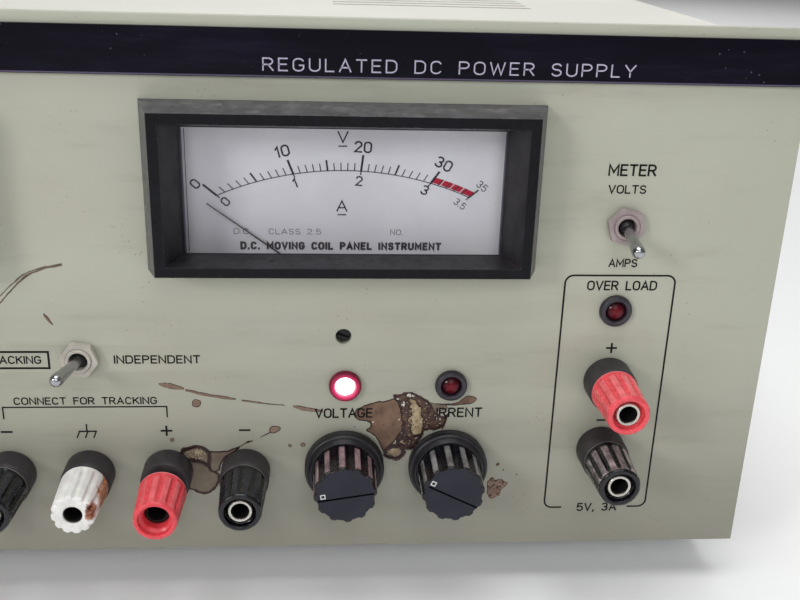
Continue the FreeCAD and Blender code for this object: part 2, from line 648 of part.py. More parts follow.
# ------------------------------------------------------------------ toggle switches
tb = box(-4.0, 4.0, 2.55, 12.0, -6.5, 6.5).fuse(cyl_y(3.0, -2.5, 3.0)).removeSplitter()
tb = tb.cut(cyl_y(2.1, -5.0, 3.2))
upright = Rotation()
across = Rotation(Vector(0, 1, 0), 90)
same("toggle_bodies", tb, [at(TOGGLE["tracking"][0], TOGGLE["tracking"][1], 0, across)] +
     [at(TOGGLE[k][0], TOGGLE[k][1]) for k in ("left_meter", "right_meter")])
nut8 = hexagon(8.0, -2.0, -0.25).cut(cyl_y(3.03, -5, 5))
same("toggle_nuts", nut8, [at(TOGGLE[k][0], TOGGLE[k][1], 0, Rotation(Vector(0, 1, 0), a))
                           for k, a in (("tracking", 8), ("left_meter", -11), ("right_meter", 14))])
# lever: pivot ball inside the bushing, a bat that widens to a rounded end
b = body("Lever")
sk = sketch(b, "lever_profile", "XY_Plane")
polygon(sk, [(0, 1.6), (1.2, 1.4), (1.9, 0.5), (1.95, 0.0), (1.6, -0.9), (1.18, -1.5), (1.22, -5.0), (1.52, -10.2),
             (1.56, -11.2), (1.42, -12.0), (0.9, -12.65), (0, -12.85)])
r = b.newObject("PartDesign::Revolution", "lever_turn")
r.Profile = sk
r.ReferenceAxis = (sk, ["V_Axis"])
r.Angle = 360
doc.recompute()
tilt = V("toggle_tilt")
for label, key, axis in (("lever_tracking", "tracking", Vector(0, 0, -1)), ("lever_left_meter", "left_meter", Vector(1, 0, 0)),
                         ("lever_right_meter", "right_meter", Vector(1, 0, 0))):
    f = doc.addObject("Part::Feature", label.title().replace("_", ""))
    f.Shape = b.Shape.copy()
    f.Placement = Placement(Vector(TOGGLE[key][0], -1.0, TOGGLE[key][1]), Rotation(axis, tilt))
    node(f, label)

# ------------------------------------------------------------------ output terminals
collar = turned("Collar", [
    (S("stud_rad") + 0.02, -S("collar_high")), (S("collar_rad") - 0.5, -S("collar_high")),
    (S("collar_rad"), -S("collar_high") + 0.5), (S("collar_rad"), 0.0), (S("post_hole") - 0.05, 0.0),
    (S("post_hole") - 0.05, 4.0), (S("stud_rad") + 0.02, 4.0)])
same("post_collars", collar.Shape, [at(POST[k][0], POST[k][1]) for k in POST])
stud = turned("Stud", [
    (0, 22.0), (S("stud_rad") - 0.4, 22.0), (S("stud_rad"), 21.6), (S("stud_rad"), -S("stud_tip") + 0.3),
    (S("stud_rad") - 0.3, -S("stud_tip")), (S("plug_rad") + 0.35, -S("stud_tip")), (S("plug_rad"), -S("stud_tip") + 0.35),
    (S("plug_rad"), -S("stud_tip") + S("plug_deep") + 0.35), (0, -S("stud_tip") + S("plug_deep") + 0.35)])
same("post_studs", stud.Shape, [at(POST[k][0], POST[k][1]) for k in POST])
cap = turned("Cap", [
    (S("cap_bore"), -S("collar_high") - 0.15), (S("cap_root"), -S("collar_high") - 0.15),
    (S("cap_nose"), -S("cap_tip") + 0.6), (S("cap_nose") - 0.6, -S("cap_tip")), (S("cap_mouth"), -S("cap_tip")),
    (S("cap_mouth"), -S("cap_tip") + 1.4), (S("cap_bore"), -S("cap_tip") + 1.9)])
sk = sketch(cap, "cap_flute", "XZ_Plane", S("cap_tip") + 0.5)
circle(sk, 0, S("cap_root") + 0.15, 0.62)
cut = pocket(cap, sk, S("cap_tip") - S("collar_high") + 2.0, name="cap_flute_cut")
polar(cap, cut, 12, "cap_flutes")
for label, (x, z, out) in POST.items():
    f = doc.addObject("Part::Feature", label.title().replace("_", ""))
    f.Shape = cap.Shape.copy()
    f.Placement = Placement(Vector(x, -out, z), Rotation(Vector(0, 1, 0), 7.0 * (x % 5)))
    node(f, label)

# ------------------------------------------------------------------ mains switch
sw = box(-7.7, 7.7, -1.6, 0, -10.7, 10.7).fuse(box(-6.5, 6.5, 0, 16, -9.5, 9.5)).removeSplitter()
sw = sw.cut(box(-5.6, 5.6, -3, 7, -8.5, 8.5))
same("power_switch_body", sw, [at(-V("aux_column"), 52.0)])
prof = [(-3.2, 7.4), (-1.5, 0.0), (-3.2, -7.4), (3.6, -5.5), (3.6, 5.5)]
pts = [Vector(-5.3, y, z) for y, z in prof]
rocker = Part.Face(Part.makePolygon(pts + [pts[0]])).extrude(Vector(10.6, 0, 0))
rocker.Placement = Placement(Vector(0, -2.0, 0), Rotation())
f = doc.addObject("Part::Feature", "Rocker")
f.Shape = rocker
f.Placement = Placement(Vector(-V("aux_column"), 2.0, 52.0), Rotation(Vector(1, 0, 0), -10)).multiply(Placement(Vector(0, -2.0, 0), Rotation()))
node(f, "power_rocker")

# ------------------------------------------------------------------ rear fittings
fh = cyl_y(6.0, YB - 28, YB).fuse(cyl_y(8.0, YB, YB + 2)).removeSplitter().cut(cyl_y(5.1, YB - 24, YB + 3))
same("fuse_holder", fh, [at(0, 104.0)])
fc = cyl_y(5.02, YB - 22, YB + 2.3).fuse(cyl_y(6.6, YB + 2.3, YB + 9.0)).removeSplitter().cut(
    box(-4.5, 4.5, YB + 8.0, YB + 10, -0.5, 0.5))
same("fuse_cap", fc, [at(0, 104.0)])
bush = turned("CordBush", [
    (3.6, S("case_back") - 8.0), (6.0, S("case_back") - 8.0), (6.0, S("case_back")), (9.0, S("case_back")),
    (9.0, S("case_back") + 2.5), (6.4, S("case_back") + 3.5), (5.2, S("case_back") + 14.0), (3.6, S("case_back") + 14.0)])
same("cord_bush", bush.Shape, [at(0, 46.0)])

# ------------------------------------------------------------------ test and write
doc.recompute()
for o in doc.Objects:
    if "Invalid" in o.State or "Error" in o.State:
        raise RuntimeError("failed feature: %s %s" % (o.Name, o.State))
whole = FreeCAD.BoundBox()
seen = set()
for o in NODES:
    s = o.Shape
    if s.isNull() or not s.isValid() or not s.Solids:
        raise RuntimeError("bad shape: " + o.Label)
    if o.Label in seen:
        raise RuntimeError("two objects share the label " + o.Label)
    seen.add(o.Label)
    whole.add(s.BoundBox)
os.makedirs("parts", exist_ok=True)
for o in NODES:
    o.Shape.exportStep("parts/%s.step" % o.Label)
print(len(NODES), "pieces written, box",
      [round(v, 2) for v in (whole.XMin, whole.XMax, whole.YMin, whole.YMax, whole.ZMin, whole.ZMax)])
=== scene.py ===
import bpy
import bmesh
import math
import random
from mathutils import Matrix, Vector, noise


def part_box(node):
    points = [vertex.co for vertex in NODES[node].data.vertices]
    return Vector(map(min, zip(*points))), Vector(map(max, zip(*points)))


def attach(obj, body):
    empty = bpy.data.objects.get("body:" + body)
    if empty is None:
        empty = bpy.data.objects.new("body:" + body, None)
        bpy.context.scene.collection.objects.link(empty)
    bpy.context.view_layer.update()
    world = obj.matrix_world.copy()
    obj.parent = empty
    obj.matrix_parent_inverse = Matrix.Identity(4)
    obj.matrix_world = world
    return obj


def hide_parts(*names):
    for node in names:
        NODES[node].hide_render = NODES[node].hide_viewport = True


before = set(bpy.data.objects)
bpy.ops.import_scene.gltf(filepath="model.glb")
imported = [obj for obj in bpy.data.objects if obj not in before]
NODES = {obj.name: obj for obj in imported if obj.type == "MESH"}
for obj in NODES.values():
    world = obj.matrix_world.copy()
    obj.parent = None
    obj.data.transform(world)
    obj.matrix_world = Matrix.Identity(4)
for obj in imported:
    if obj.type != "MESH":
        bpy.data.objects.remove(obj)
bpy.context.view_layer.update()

rng = random.Random(7)
DY = -147.7            # mm, from the panel's face to the row's origin
scene = bpy.context.scene
scene.view_settings.view_transform = "Standard"


def P(x, y, z):
    """Panel millimetres (y counts from the panel's outer face) to metres in the row's frame."""
    return Vector((x * 1e-3, (y + DY) * 1e-3, z * 1e-3))


def lin(r, g, b):
    """0-255 display colour to linear."""
    def f(c):
        c = c / 255.0
        return c / 12.92 if c <= 0.04045 else ((c + 0.055) / 1.055) ** 2.4
    return (f(r), f(g), f(b), 1.0)


# ---------------------------------------------------------------- materials
class Graph:
    def __init__(self, name):
        self.mat = bpy.data.materials.new(name)
        self.mat.use_nodes = True
        self.nt = self.mat.node_tree
        self.bsdf = self.nt.nodes["Principled BSDF"]

    def new(self, kind, **props):
        n = self.nt.nodes.new(kind)
        for k, v in props.items():
            setattr(n, k, v)
        return n

    def put(self, sock, v):
        if v is None:
            return
        if isinstance(v, bpy.types.NodeSocket):
            self.nt.links.new(v, sock)
        else:
            sock.default_value = v

    def m(self, op, a, b=None, c=None, clamp=False):
        n = self.new("ShaderNodeMath", operation=op, use_clamp=clamp)
        for i, v in enumerate((a, b, c)):
            self.put(n.inputs[i], v)
        return n.outputs[0]

    def coord(self):
        return self.new("ShaderNodeTexCoord").outputs["Object"]

    def scaled(self, vec, s=(1, 1, 1), rot=(0, 0, 0), loc=(0, 0, 0)):
        n = self.new("ShaderNodeMapping")
        self.put(n.inputs["Vector"], vec)
        n.inputs["Scale"].default_value = s
        n.inputs["Rotation"].default_value = rot
        n.inputs["Location"].default_value = loc
        return n.outputs[0]

    def noise(self, vec, scale, detail=3.0, rough=0.5, dist=0.0):
        n = self.new("ShaderNodeTexNoise")
        self.put(n.inputs["Vector"], vec)
        n.inputs["Scale"].default_value = scale
        n.inputs["Detail"].default_value = detail
        n.inputs["Roughness"].default_value = rough
        n.inputs["Distortion"].default_value = dist
        return n.outputs[0]

    def voronoi(self, vec, scale, feature="F1"):
        n = self.new("ShaderNodeTexVoronoi", feature=feature)
        self.put(n.inputs["Vector"], vec)
        n.inputs["Scale"].default_value = scale
        return n.outputs[0]

    def ramp(self, fac, lo, hi, a=0.0, b=1.0):
        n = self.new("ShaderNodeMapRange", interpolation_type="SMOOTHSTEP")
        self.put(n.inputs["Value"], fac)
        n.inputs["From Min"].default_value = lo
        n.inputs["From Max"].default_value = hi
        n.inputs["To Min"].default_value = a
        n.inputs["To Max"].default_value = b
        return n.outputs[0]

    def mix(self, fac, a, b, blend="MIX"):
        n = self.new("ShaderNodeMix", data_type="RGBA", blend_type=blend)
        self.put(n.inputs[0], fac)
        self.put(n.inputs[6], a)
        self.put(n.inputs[7], b)
        return n.outputs[2]

    def bump(self, height, strength=0.3, dist=0.0002):
        n = self.new("ShaderNodeBump")
        n.inputs["Strength"].default_value = strength
        n.inputs["Distance"].default_value = dist
        self.put(n.inputs["Height"], height)
        self.put(self.bsdf.inputs["Normal"], n.outputs[0])

    def set(self, **kw):
        names = {"color": "Base Color", "rough": "Roughness", "metal": "Metallic", "spec": "Specular IOR Level",
                 "coat": "Coat Weight", "coat_rough": "Coat Roughness", "trans": "Transmission Weight", "ior": "IOR",
                 "emit": "Emission Color", "emit_s": "Emission Strength", "alpha": "Alpha",
                 "sss": "Subsurface Weight", "sheen": "Sheen Weight"}
        for k, v in kw.items():
            self.put(self.bsdf.inputs[names[k]], v)
        return self


def plastic(name, color, rough=0.4, vary=0.25, dust=0.0, dust_color=(0.30, 0.29, 0.26, 1), grain=0.12, scale=900.0, spec=0.5):
    """Moulded plastic: uneven colour, fine grain and dust lying in patches."""
    g = Graph(name)
    co = g.coord()
    n1 = g.noise(co, 180.0, 4, 0.55)
    n2 = g.noise(co, scale, 3, 0.6)
    dark = tuple(c * (1 - vary) for c in color[:3]) + (1,)
    lite = tuple(min(1, c * (1 + vary)) for c in color[:3]) + (1,)
    c = g.mix(g.ramp(n1, 0.35, 0.68), dark, lite)
    if dust > 0:
        d = g.m("MULTIPLY", g.ramp(g.noise(co, 320.0, 6, 0.7), 0.47, 0.72), dust)
        c = g.mix(d, c, dust_color)
        g.set(rough=g.m("ADD", g.ramp(n2, 0.3, 0.7, rough - 0.06, rough + 0.08), g.m("MULTIPLY", d, 0.4)))
    else:
        g.set(rough=g.ramp(n2, 0.3, 0.7, rough - 0.06, rough + 0.08))
    g.set(color=c, spec=spec)
    g.bump(n2, grain, 0.00005)
    return g.mat


def metal(name, color, rough=0.25, vary=0.15, scratch=0.2, dirt=0.0, stretch=(1, 1, 1)):
    g = Graph(name)
    co = g.coord()
    n1 = g.noise(co, 240.0, 5, 0.6)
    n2 = g.noise(g.scaled(co, stretch), 1400.0, 4, 0.7)
    dark = tuple(c * (1 - vary) for c in color[:3]) + (1,)
    c = g.mix(g.ramp(n1, 0.3, 0.7), dark, color)
    if dirt:
        d = g.m("MULTIPLY", g.ramp(g.noise(co, 420.0, 5, 0.7), 0.5, 0.7), dirt)
        c = g.mix(d, c, (0.09, 0.07, 0.05, 1))
    g.set(color=c, metal=1.0, rough=g.ramp(n2, 0.25, 0.75, rough - 0.07, rough + 0.12))
    g.bump(n2, scratch, 0.00003)
    return g.mat


def panel_enamel():
    """Old olive grey enamel: slow tone changes, faint darker and lighter streaks that run to the lower right, specks,
    and painted shade darkening the lower edge.
    """
    g = Graph("panel_enamel")
    co = g.coord()
    base = lin(181, 182, 167)
    slow = g.noise(co, 14.0, 3, 0.5)
    c = g.mix(g.ramp(slow, 0.3, 0.7), lin(176, 178, 161), base)
    # faint darker streaks, and lighter ones below, stretched to run to the lower right
    st = g.noise(g.scaled(co, (1.0, 1.0, 5.5), (0, math.radians(-28), 0)), 34.0, 5, 0.62)
    c = g.mix(g.m("MULTIPLY", g.ramp(st, 0.52, 0.74), 0.30), c, lin(150, 147, 131))
    st2 = g.noise(g.scaled(co, (1.0, 1.0, 4.0), (0, math.radians(-24), 0)), 70.0, 4, 0.6)
    c = g.mix(g.m("MULTIPLY", g.ramp(st2, 0.56, 0.8), 0.25), c, lin(192, 190, 176))
    warm = g.noise(co, 45.0, 4, 0.6)
    c = g.mix(g.m("MULTIPLY", g.ramp(warm, 0.5, 0.75), 0.14), c, lin(178, 160, 148))
    # painted shade: the colour is mixed toward a darker grey near the bottom edge, standing in for the light falling
    # off toward the bottom
    z = g.new("ShaderNodeSeparateXYZ")
    g.put(z.inputs[0], co)
    low = g.ramp(z.outputs["Z"], 0.006, 0.080, 0.85, 0.0)
    c = g.mix(low, c, lin(134, 131, 119))
    speck = g.voronoi(co, 620.0)
    gate = g.ramp(g.noise(co, 90.0, 3, 0.6), 0.55, 0.7)
    c = g.mix(g.m("MULTIPLY", g.m("MULTIPLY", g.ramp(speck, 0.10, 0.18, 1.0, 0.0), gate), 0.5), c, lin(122, 112, 95))
    fine = g.noise(co, 2600.0, 3, 0.65)
    c = g.mix(g.m("MULTIPLY", g.ramp(fine, 0.4, 0.75), 0.07), c, lin(120, 118, 106))
    g.set(color=c, rough=g.ramp(st, 0.35, 0.7, 0.42, 0.58), spec=0.4)
    g.bump(g.m("ADD", g.m("MULTIPLY", fine, 0.5), g.noise(co, 700.0, 2, 0.5)), 0.10, 0.00006)
    return g.mat


def strip_gloss():
    g = Graph("strip_gloss")
    co = g.coord()
    haze = g.noise(g.scaled(co, (1, 1, 7), (0, math.radians(10), 0)), 24.0, 5, 0.65)
    c = g.mix(g.ramp(haze, 0.45, 0.8), lin(8, 6, 18), lin(24, 21, 40))
    dust = g.voronoi(co, 480.0)
    gate = g.ramp(g.noise(co, 60.0, 3, 0.6), 0.5, 0.68)
    c = g.mix(g.m("MULTIPLY", g.m("MULTIPLY", g.ramp(dust, 0.06, 0.12, 1.0, 0.0), gate), 0.55), c, lin(110, 104, 118))
    g.set(color=c, rough=g.ramp(haze, 0.3, 0.8, 0.16, 0.34), spec=0.12)
    g.bump(g.noise(g.scaled(co, (40, 1, 1)), 90.0, 3, 0.6), 0.03, 0.00004)
    return g.mat


def film_mat(name, a, b, dark, rough=0.42, scale=160.0):
    """A dried liquid film: mottled, darker where it pooled."""
    g = Graph(name)
    co = g.coord()
    n1 = g.noise(co, scale, 5, 0.6, 0.4)
    n2 = g.noise(co, scale * 4, 4, 0.65)
    c = g.mix(g.ramp(n1, 0.32, 0.68), a, b)
    c = g.mix(g.m("MULTIPLY", g.ramp(n2, 0.5, 0.78), 0.5), c, dark)
    g.set(color=c, rough=g.ramp(n1, 0.3, 0.7, rough - 0.1, rough + 0.12), spec=0.28)
    g.bump(n2, 0.35, 0.00008)
    return g.mat


def ink(name, color, rough=0.5):
    g = Graph(name)
    co = g.coord()
    w = g.noise(co, 1500.0, 4, 0.7)
    g.set(color=g.mix(g.ramp(w, 0.55, 0.8), color, tuple(min(1, c * 1.5 + 0.004) for c in color[:3]) + (1,)), rough=rough)
    g.bump(w, 0.1, 0.00002)
    g.bsdf.inputs["Specular IOR Level"].default_value = 0.15
    return g.mat


def powder(name, color, rough=0.6, vary=0.06, bump=0.25):
    """Textured enamel on sheet metal, with scuffs."""
    g = Graph(name)
    co = g.coord()
    big = g.noise(co, 9.0, 4, 0.55)
    tex = g.noise(co, 1100.0, 3, 0.6)
    dark = tuple(c * (1 - vary * 2) for c in color[:3]) + (1,)
    c = g.mix(g.ramp(big, 0.35, 0.7), dark, color)
    scuff = g.noise(g.scaled(co, (3, 60, 3), (0, 0, 0.4)), 30.0, 4, 0.7)
    c = g.mix(g.m("MULTIPLY", g.ramp(scuff, 0.66, 0.78), 0.25), c, tuple(c2 * 0.55 for c2 in color[:3]) + (1,))
    g.set(color=c, rough=g.ramp(tex, 0.3, 0.7, rough - 0.08, rough + 0.08), spec=0.35)
    g.bump(tex, bump, 0.0001)
    return g.mat


M = {}
M["panel"] = panel_enamel()
M["strip"] = strip_gloss()
M["trim_line"] = ink("strip_edge_line", lin(92, 84, 106), 0.35)
M["ink"] = ink("panel_ink", lin(24, 23, 23), 0.7)
M["ink_pale"] = ink("strip_lettering", lin(186, 178, 200), 0.4)
M["dial_ink"] = ink("dial_ink", lin(48, 46, 54))
M["needle"] = ink("needle_paint", lin(74, 66, 66), 0.5)
M["dial_red"] = ink("dial_red", lin(176, 42, 64), 0.7)
M["dial_grey"] = ink("dial_grey", lin(74, 68, 74), 0.7)
M["case"] = powder("case_enamel", lin(226, 224, 214))
M["bezel"] = plastic("meter_bezel_plastic", lin(40, 39, 44), 0.38, 0.2, 0.30, lin(96, 98, 98), 0.10, 700)
M["bezel_rim"] = plastic("meter_rim_plastic", lin(8, 8, 15), 0.30, 0.15, 0.10, lin(46, 48, 60), 0.05, 900, spec=0.18)
# painted light: the bezel's outward slopes get a lighter copy of its plastic, partly pale dust and partly standing in
# for the light they catch from above
M["bezel_slope"] = plastic("meter_slope_plastic", lin(76, 76, 80), 0.36, 0.22, 0.60, lin(132, 128, 124), 0.10, 600, spec=0.4)
M["inner"] = plastic("meter_inner_plastic", lin(36, 34, 38), 0.40, 0.25, 0.25, lin(78, 73, 74), 0.10, 500, spec=0.35)
M["skirt"] = plastic("knob_skirt_plastic", lin(26, 24, 30), 0.40, 0.3, 0.40, lin(64, 56, 60), 0.2, 600)
M["disc"] = plastic("knob_disc_plastic", lin(40, 41, 51), 0.50, 0.10, 0.10, lin(58, 58, 68), 0.18, 1500, spec=0.22)
def matt_black(name, color):
    g = Graph(name)
    n = g.noise(g.coord(), 900.0, 3, 0.6)
    g.set(color=g.mix(g.ramp(n, 0.3, 0.7), color, tuple(c * 1.6 + 0.001 for c in color[:3]) + (1,)), rough=0.8, spec=0.02)
    return g.mat


M["disc_line"] = matt_black("knob_disc_line", lin(3, 3, 6))
M["white_mark"] = ink("knob_mark", lin(205, 205, 205), 0.5)
M["black_part"] = plastic("black_moulding", lin(38, 37, 40), 0.45, 0.2, 0.35, lin(80, 76, 72), 0.12, 700)
M["collar"] = plastic("collar_moulding", lin(53, 49, 52), 0.50, 0.22, 0.40, lin(70, 64, 64), 0.12, 800, spec=0.35)
M["rubber"] = plastic("foot_rubber", lin(34, 33, 33), 0.78, 0.2, 0.4, lin(84, 80, 72), 0.4, 700)
M["chrome"] = metal("plated_nut", lin(205, 202, 192), 0.22, 0.16, 0.12, 0.25)
M["lever"] = metal("plated_lever", lin(176, 178, 182), 0.17, 0.10, 0.05, 0.08)
M["tube"] = metal("plated_tube", lin(210, 206, 198), 0.25, 0.18, 0.15, 0.35)
M["alu"] = metal("bare_aluminium", lin(196, 198, 200), 0.38, 0.10, 0.15, 0.0, (1, 14, 1))
M["zinc"] = metal("zinc_plate", lin(182, 180, 172), 0.36, 0.18, 0.2, 0.1)
M["sink"] = plastic("anodised_fins", lin(34, 34, 38), 0.42, 0.2, 0.2, lin(86, 84, 80), 0.12, 900)
M["core"] = plastic("core_laminations", lin(60, 50, 44), 0.5, 0.25, 0.2, lin(96, 84, 70), 0.2, 400)
M["board"] = plastic("board_mask", lin(36, 96, 58), 0.35, 0.15, 0.1, lin(90, 110, 84), 0.06, 600)
M["sleeve"] = plastic("capacitor_sleeve", lin(30, 42, 90), 0.3, 0.12, 0.1, lin(80, 84, 100), 0.04, 600)
M["nylon"] = plastic("nylon_standoff", lin(225, 224, 214), 0.45, 0.05, 0.1, lin(170, 166, 150), 0.06, 900)
M["wrap"] = plastic("coil_wrap", lin(200, 160, 70), 0.42, 0.12, 0.2, lin(140, 110, 60), 0.10, 500)
# pale rings laid on the caps' rounded root beads
M["edge_grey"] = plastic("cap_root_ring_pale", lin(118, 114, 112), 0.45, 0.3, 0.3, lin(70, 66, 66), 0.1, 700)
M["edge_red"] = plastic("cap_root_ring_red_pale", lin(226, 140, 140), 0.45, 0.15, 0.2, lin(190, 90, 90), 0.1, 700)
M["nut_pink"] = plastic("nut_plating_dull", lin(158, 143, 143), 0.32, 0.10, 0.25, lin(120, 108, 104), 0.06, 500)
M["nut_pale"] = plastic("nut_plating_pale", lin(186, 180, 170), 0.30, 0.10, 0.25, lin(140, 132, 122), 0.06, 500)
M["boot"] = plastic("lever_boot_rubber", lin(20, 18, 20), 0.5, 0.2, 0.0, grain=0.1)
M["grime"] = plastic("grimy_washer", lin(96, 84, 80), 0.55, 0.3, 0.4, lin(60, 50, 46), 0.2, 700)
M["lamp_rim"] = plastic("lamp_rim_plastic", lin(46, 42, 50), 0.42, 0.2, 0.3, lin(84, 78, 80), 0.1, 700)
# painted shade: the stud's bore walls are near-black, standing in for the shade inside the bore
M["bore"] = plastic("socket_bore", lin(16, 14, 14), 0.55, 0.3, 0.0, grain=0.1)
M["tube_dark"] = metal("plated_tube_tarnished", lin(52, 44, 42), 0.6, 0.3, 0.3, 0.6)
M["tube_dirty"] = metal("plated_tube_dull", lin(96, 86, 80), 0.5, 0.3, 0.3, 0.6)
M["hole"] = plastic("dark_hole", lin(9, 8, 8), 0.7, 0.2, 0.0, grain=0.1)


def cap_plastic(name, color, rough, vary, dust, dust_color, sss=0.0, grain=0.05):
    g = Graph(name)
    co = g.coord()
    n1 = g.noise(co, 260.0, 4, 0.6)
    n2 = g.noise(co, 1200.0, 3, 0.6)
    dark = tuple(c * (1 - vary) for c in color[:3]) + (1,)
    lite = tuple(min(1, c * (1 + vary * 0.6)) for c in color[:3]) + (1,)
    c = g.mix(g.ramp(n1, 0.32, 0.7), dark, lite)
    sc = g.noise(g.scaled(co, (1, 0.16, 1)), 900.0, 4, 0.7)
    c = g.mix(g.m("MULTIPLY", g.ramp(sc, 0.5, 0.76), dust), c, dust_color)
    g.set(color=c, rough=g.ramp(n2, 0.3, 0.7, rough - 0.06, rough + 0.1), spec=0.5, sss=sss)
    g.bsdf.inputs["Subsurface Radius"].default_value = (0.0020, 0.0006, 0.0004)
    g.bump(n2, grain, 0.00005)
    return g.mat


def ridge_wear_and_sheen(name, base, ridge, r0, r1, h0, h1, tol, strength, rough, grain=0.05, spec=0.5, top=True, patch=0.5, sss=0.0):
    """Fluted plastic whose raised ridges are scuffed pale, with a painted highlight where top is set (the pale ridge
    colour kept to upward-facing faces, standing in for overhead light); r0..r1 is the ridge radius between heights h0
    and h1 (mm).
    """
    g = Graph(name)
    co = g.coord()
    s = g.new("ShaderNodeSeparateXYZ")
    g.put(s.inputs[0], co)
    rr = g.m("SQRT", g.m("ADD", g.m("POWER", s.outputs["X"], 2.0), g.m("POWER", s.outputs["Z"], 2.0)))
    h = g.m("MULTIPLY", s.outputs["Y"], -1.0)
    slope = (r1 - r0) / (h1 - h0)
    surf = g.m("ADD", g.m("MULTIPLY", g.m("SUBTRACT", h, h0 * 1e-3), slope), r0 * 1e-3)
    up = g.ramp(g.m("SUBTRACT", rr, surf), -tol * 1e-3, -tol * 0.25e-3)
    band = g.m("MULTIPLY", g.ramp(h, (h0 + 0.2) * 1e-3, (h0 + 1.2) * 1e-3), g.ramp(h, (h1 - 0.1) * 1e-3, (h1 + 0.25) * 1e-3, 1.0, 0.0))
    n1 = g.noise(co, 260.0, 4, 0.6)
    n2 = g.noise(co, 1200.0, 3, 0.6)
    ln = g.noise(g.scaled(co, (1, 0.12, 1)), 1100.0, 4, 0.7)
    k = g.m("MULTIPLY", g.m("MULTIPLY", up, band), strength)
    k = g.m("MULTIPLY", k, g.ramp(n1, 0.5 - patch * 0.35, 0.62, 0.35, 1.0))
    k = g.m("MULTIPLY", k, g.ramp(ln, 0.3, 0.6, 0.55, 1.0))
    # painted highlight: the pale ridge colour is kept to upward-facing faces, standing in for the overhead light on the
    # ridges
    if top:
        nz = g.new("ShaderNodeSeparateXYZ")
        geo = g.new("ShaderNodeNewGeometry")
        g.put(nz.inputs[0], geo.outputs["Normal"])
        k = g.m("MULTIPLY", k, g.ramp(nz.outputs["Z"], -0.15, 0.75))
    dark = tuple(c * 0.78 for c in base[:3]) + (1,)
    c = g.mix(g.ramp(n1, 0.32, 0.7), dark, base)
    c = g.mix(k, c, ridge)
    g.set(color=c, rough=g.m("ADD", g.ramp(n2, 0.3, 0.7, rough - 0.06, rough + 0.08), g.m("MULTIPLY", k, 0.2)), spec=spec, sss=sss)
    g.bsdf.inputs["Subsurface Radius"].default_value = (0.0020, 0.0006, 0.0004)
    g.bump(g.m("ADD", n2, g.m("MULTIPLY", ln, 0.5)), grain, 0.00005)
    return g.mat


# pale ridges below: partly scuffing, partly a painted highlight of the overhead light
M["knob"] = ridge_wear_and_sheen("knob_plastic", lin(16, 15, 22), lin(150, 146, 146), 7.72, 7.60, 4.2, 14.2, 0.28, 0.95, 0.24)
# painted light: the voltage knobs sit under the lit lamps and get a reddish copy of the knob plastic, standing in for
# the lamps' red glow
M["knob_warm"] = ridge_wear_and_sheen("knob_plastic_lit", lin(22, 14, 20), lin(172, 142, 146), 7.72, 7.60, 4.2, 14.2, 0.28, 0.95, 0.24)
M["cap_red"] = ridge_wear_and_sheen("cap_red_plastic", lin(238, 76, 86), lin(248, 150, 152), 5.62, 5.08, 8.1, 18.9, 0.10, 0.45, 0.30, top=True, sss=0.08)
M["cap_red_pale"] = ridge_wear_and_sheen("cap_red_pale_plastic", lin(244, 82, 92), lin(250, 168, 168), 5.62, 5.08, 8.1, 18.9, 0.10, 0.50, 0.26, top=True, sss=0.08)
M["cap_black"] = ridge_wear_and_sheen("cap_black_plastic", lin(9, 9, 17), lin(78, 78, 90), 5.62, 5.08, 8.1, 18.9, 0.10, 0.30, 0.22, patch=0.8)
M["cap_black_worn"] = ridge_wear_and_sheen("cap_black_worn_plastic", lin(14, 13, 20), lin(206, 192, 192), 5.62, 5.08, 8.1, 18.9, 0.16, 1.0, 0.24, patch=0.2)


def white_cap_stained():
    """The ground cap: white, with a rust-brown stain down its right side and dirt round the mouth."""
    g = Graph("cap_white_stained")
    co = g.coord()
    s = g.new("ShaderNodeSeparateXYZ")
    g.put(s.inputs[0], co)
    n1 = g.noise(co, 300.0, 5, 0.65, 0.3)
    n2 = g.noise(co, 1200.0, 3, 0.6)
    c = g.mix(g.ramp(n1, 0.35, 0.7), lin(224, 222, 219), lin(242, 241, 237))
    side = g.m("ADD", s.outputs["X"], g.m("MULTIPLY", g.m("SUBTRACT", n1, 0.5), 0.006))
    low = g.m("ADD", g.m("MULTIPLY", s.outputs["Z"], -0.55), g.m("MULTIPLY", g.m("SUBTRACT", n1, 0.5), 0.003))
    k = g.ramp(g.m("ADD", side, g.m("MULTIPLY", low, 0.25)), 0.0037, 0.0049)
    deep = g.ramp(s.outputs["Y"], -0.0170, -0.0125)
    k = g.m("MULTIPLY", k, deep)
    c = g.mix(k, c, g.mix(g.ramp(n2, 0.35, 0.7), lin(150, 92, 58), lin(196, 140, 104)))
    # broken plastic and rust beside the mouth, on its right
    n3 = g.noise(co, 700.0, 4, 0.7, 0.5)
    dx = g.m("SUBTRACT", s.outputs["X"], 0.0040)
    dz = g.m("SUBTRACT", s.outputs["Z"], 0.0006)
    dd = g.m("SQRT", g.m("ADD", g.m("POWER", dx, 2.0), g.m("MULTIPLY", g.m("POWER", dz, 2.0), 0.35)))
    dd = g.m("ADD", dd, g.m("MULTIPLY", g.m("SUBTRACT", n3, 0.5), 0.0022))
    k2 = g.m("MULTIPLY", g.ramp(dd, 0.0009, 0.0015, 1.0, 0.0), g.ramp(s.outputs["Y"], -0.0162, -0.0172))
    c = g.mix(k2, c, g.mix(g.ramp(n2, 0.4, 0.6), lin(112, 62, 42), lin(178, 120, 92)))
    g.set(color=c, rough=g.ramp(n2, 0.3, 0.7, 0.30, 0.46), sss=0.06)
    g.bsdf.inputs["Subsurface Radius"].default_value = (0.002, 0.001, 0.0006)
    g.bump(n2, 0.08, 0.00005)
    return g.mat


M["cap_white_stained"] = white_cap_stained()


